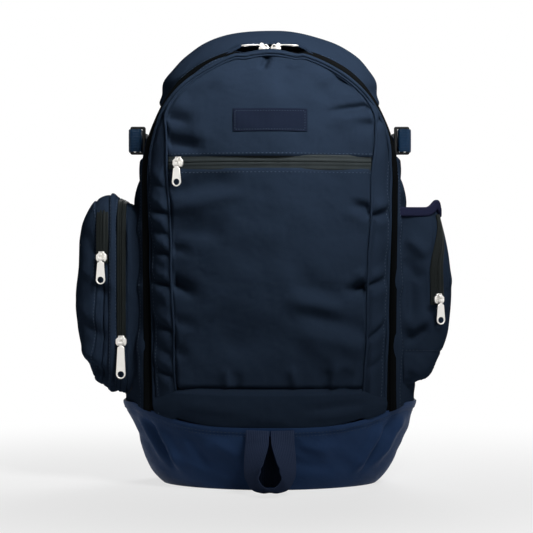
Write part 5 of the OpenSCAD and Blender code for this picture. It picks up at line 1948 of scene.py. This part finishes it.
# --- zip hardware
@dataclass
class Hardware:
    """Six sliders and their pulls, each in its packed place."""

    slider_t: float = 0.0032
    pin_y: float = -0.0056
    pin_z: float = -0.0025
    pull_t: float = 0.0016
    hole_r: float = 0.0034
    rim: float = 0.0015
    lift: float = 0.0018
    bend: float = 0.165
    parked_at: float = 2.2
    above: float = 0.0024

    def slider(self) -> Piece:
        """Slider in its own frame: a waisted plate, a crown over it, two ears and the pin."""
        piece = Piece("slider")
        half = [(0.003, 0.0055), (0.0034, 0.0036), (0.0048, 0.0026), (0.006, 0.0012), (0.006, -0.003),
                (0.0044, -0.0055)]
        body = plate(half + [(-x, z) for x, z in half[::-1]], [], self.slider_t, 0.0006)
        piece.borrow(body, move(0, -self.slider_t / 2, 0))
        for side in (-1, 1):
            ear = plate(box_outline(-0.0021, 0.0021, -0.0023, 0.0024, 0.0018, 5), [], 0.0012, 0.0004)
            piece.borrow(ear, move(side * 0.0026, self.pin_y + 0.0007, self.pin_z) @ spin(RIGHT_ANGLE, "Z"))
        u = np.linspace(0, 1, 24)
        high = -self.slider_t + 0.0003 - 0.003 * np.sin(np.pi * u) ** 0.6
        piece.webbing(xyz(0.0, high, lerp(0.0046, -0.0004, u)), ACROSS, 0.0034, 0.0011)
        return piece.sweep(tube(xyz(np.linspace(-0.0031, 0.0031, 8), self.pin_y, self.pin_z), 0.0011, 14))

    def pull(self, length: float) -> Piece:
        """Pull in its slider's frame: an eye on the pin and a plate with a round end and a hole."""
        top, low = 0.0076 / 2, 0.0106 / 2
        turn = np.linspace(0, np.pi, 15)
        neck = [(0.0017, 0.0002), (0.0017, -0.0034), (top - 0.0006, -0.004), (top, -0.005)]
        end = [(-low * math.cos(b), -length + low - low * math.sin(b)) for b in turn]
        outline = [(-x, z) for x, z in neck] + end + neck[::-1]
        hole = circle(0, self.hole_r + self.rim - length, self.hole_r)
        body = plate(outline, [hole], self.pull_t, 0.0005)
        piece = Piece("pull").borrow(body, move(0, self.pin_y, self.pin_z))
        eye = xyz(np.linspace(-0.0017, 0.0017, 4), 0.0, 0.0)
        loop = np.concatenate([tube(eye, 0.0023, 18), tube(eye, 0.00125, 18)[::-1]])
        return piece.sweep(loop + (0, self.pin_y, self.pin_z), loop=True)

    @staticmethod
    def place(piece: Piece, m: Matrix, name: str) -> Piece:
        """Piece moved to its place and named."""
        a = np.array(m)
        piece.points = [p @ a[:3, :3].T + a[:3, 3] for p in piece.points]
        piece.name = name
        return piece

    @staticmethod
    def turned(x: float, y: float, z: float, angle: float, back: float) -> Matrix:
        """Place at a point, turned about Z and stood off along its own -Y."""
        return move(x, y, z) @ spin(angle, "Z") @ move(0, -back, 0)

    def on_left(self, s: float, z: float) -> Matrix:
        """Place on the left pocket's front, at a depth share and height."""
        left = LeftPocket()

        def front(share: float) -> Pair:
            """Front line of the pocket at a depth share."""
            deep = left.half_d * float(swell(share, 3.5))
            return -lerp(left.root(), left.out, share), left.mid_y - deep

        (x0, y0), (x1, y1) = front(s - 0.02), front(s + 0.02)
        return self.turned(*front(s), z, -math.atan2(y1 - y0, -(x1 - x0)), self.lift)

    def on_right(self, z: float) -> Matrix:
        """Place on the right pocket's slanted zip, at a height by its lower end."""
        right = RightPocket()
        a, b, at = (right.point(z, math.radians(right.zip_a + d)) for d in (-2.0, 2.0, 0.0))
        angle = math.atan2((a - b)[1], (a - b)[0])
        return self.turned(float(at[0]), float(at[1]), z, angle, self.lift + 0.0004)

    @staticmethod
    def on_front(x: float) -> Matrix:
        """Place on the front pocket's zip, on the arc through its middle and its two points at x."""
        z = FORM.front_zip_z
        middle = float(FORM.front_y(0.0, z))
        bow = float(FORM.front_y(x, z) - FORM.front_y(0.0, z))
        r = (x**2 + bow**2) / (2 * bow)
        return move(0, middle + r, z) @ spin(-math.asin(x / r), "Z") @ move(0, 0.0001 - r, MM)

    def on_main(self, side: int) -> Matrix:
        """Place on the main zip's arch, beside its top on one side."""
        m = move(0, -FORM.zip_depth - 0.0025, FORM.zip_top - self.bend)
        m = m @ spin(math.radians(side * self.parked_at), "Y") @ move(0, 0, self.bend + self.above)
        return m @ spin(side * RIGHT_ANGLE, "Z") @ spin(-RIGHT_ANGLE, "X")

    def build(self) -> None:
        """Makes every slider and pull on its own body."""
        spots = (
            ("left_outer", self.on_left(LeftPocket.outer_s, 0.25), 0.028),
            ("left_inner", self.on_left(LeftPocket.inner_s, 0.158), 0.039),
            ("right", self.on_right(0.204), 0.026), ("front", self.on_front(0.0975), 0.024),
            ("main_right", self.on_main(1), 0.022), ("main_left", self.on_main(-1), 0.022),
        )
        for key, m, length in spots:
            kind, _, side = key.partition("_")
            for piece, word in ((self.slider(), "slider"), (self.pull(length), "pull")):
                body = f"main_{word}_{side}" if kind == "main" else f"{key}_{word}"
                self.place(piece, m, body + "_metal").write("metal", body, "zip_metal", body)


# --- studio
@dataclass
class Studio:
    """Pale floor, soft lights, white surroundings and the camera."""

    distance: float = 2.0
    view_width: float = 0.565
    eye: Triple = (-0.0037, -2.1, 0.239)

    def build(self) -> None:
        """Makes the camera, the lights, the floor and the surroundings."""
        self.camera()
        self.lights()
        self.floor()
        self.world()

    def camera(self) -> None:
        """Level camera in front of the bag, whose picture is 565 mm wide at the bag's front."""
        data = bpy.data.cameras.new("camera")
        data.sensor_width = 36.0
        data.lens = data.sensor_width * self.distance / self.view_width
        data.clip_end = 20.0
        cam = bpy.data.objects.new("camera", data)
        cam.location = self.eye
        cam.rotation_euler = (math.radians(90), 0, 0)
        bpy.context.scene.collection.objects.link(cam)
        bpy.context.scene.camera = cam

    def lights(self) -> None:
        """Lamps: a narrow key over the upper right, weak fills on the left and above, a strong one behind."""
        middle = (0.0, -0.02, 0.28)
        for name, place, target, size, power, fan in (
            ("key", (0.37, -0.68, 0.98), (0.03, -0.08, 0.61), 0.4, 2.25, 62.0),
            ("left", (-1.5, -1.1, 0.9), middle, 0.8, 0.5, 180.0),
            ("over", (0.0, 0.3, 1.6), middle, 0.9, 0.8, 180.0),
            ("back", (0.5, 1.7, 1.2), middle, 1.0, 24.0, 180.0),
        ):
            data = bpy.data.lights.new(name, "AREA")
            data.shape, data.size, data.energy, data.spread = "SQUARE", size, power, math.radians(fan)
            lamp = bpy.data.objects.new(name, data)
            lamp.location = place
            lamp.rotation_euler = (Vector(target) - Vector(place)).to_track_quat("-Z", "Y").to_euler()
            bpy.context.scene.collection.objects.link(lamp)

    def floor(self) -> None:
        """Pale floor that keeps the bag's shadow and turns plain white away from it."""
        bpy.ops.mesh.primitive_plane_add(size=12.0, location=(0, 0, -0.0004))
        floor = bpy.context.object
        floor.name = "floor"
        g = Graph("pale_floor")
        length = g.add("ShaderNodeVectorMath", operation="LENGTH")
        g.link(g.solid(), length.inputs[0])
        far = g.remap(length.outputs["Value"], (0.2, 0.9), (0.7, 1.0), "SMOOTHSTEP")
        g.plain(Base_Color=(0.82, 0.82, 0.82, 1.0), Roughness=0.9)
        mix = g.add("ShaderNodeMixShader")
        glow = g.add("ShaderNodeEmission").outputs[0]
        for socket, out in zip(mix.inputs, (g.times(far, g.seen()), g.shader.outputs[0], glow)):
            g.link(out, socket)
        g.link(mix.outputs[0], g.tree.nodes["Material Output"].inputs[0])
        floor.data.materials.append(g.owner)

    def world(self) -> None:
        """White surroundings for the camera and for reflections, and a dim even fill for the rest."""
        g = Graph("studio", world=True)
        g.plain(Color=(1, 1, 1, 1))
        g.link(g.remap(g.seen(), (0.0, 1.0), (0.04, 1.0)), g.shader.inputs["Strength"])
        bpy.context.scene.world = g.owner
        bpy.context.scene.view_settings.view_transform = "Standard"


def main() -> None:
    logging.basicConfig(level=logging.INFO, format="%(name)s %(message)s")
    Studio().build()
    for part in (MainBody(), Lid(), MainZips(), LeftPocket(), RightPocket(),
                 Back(), ShoulderStraps(), Loops(), SideStraps(), Hardware()):
        part.build()
        LOG.info("%s done", type(part).__name__)
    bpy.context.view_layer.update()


if __name__ == "__main__":
    main()
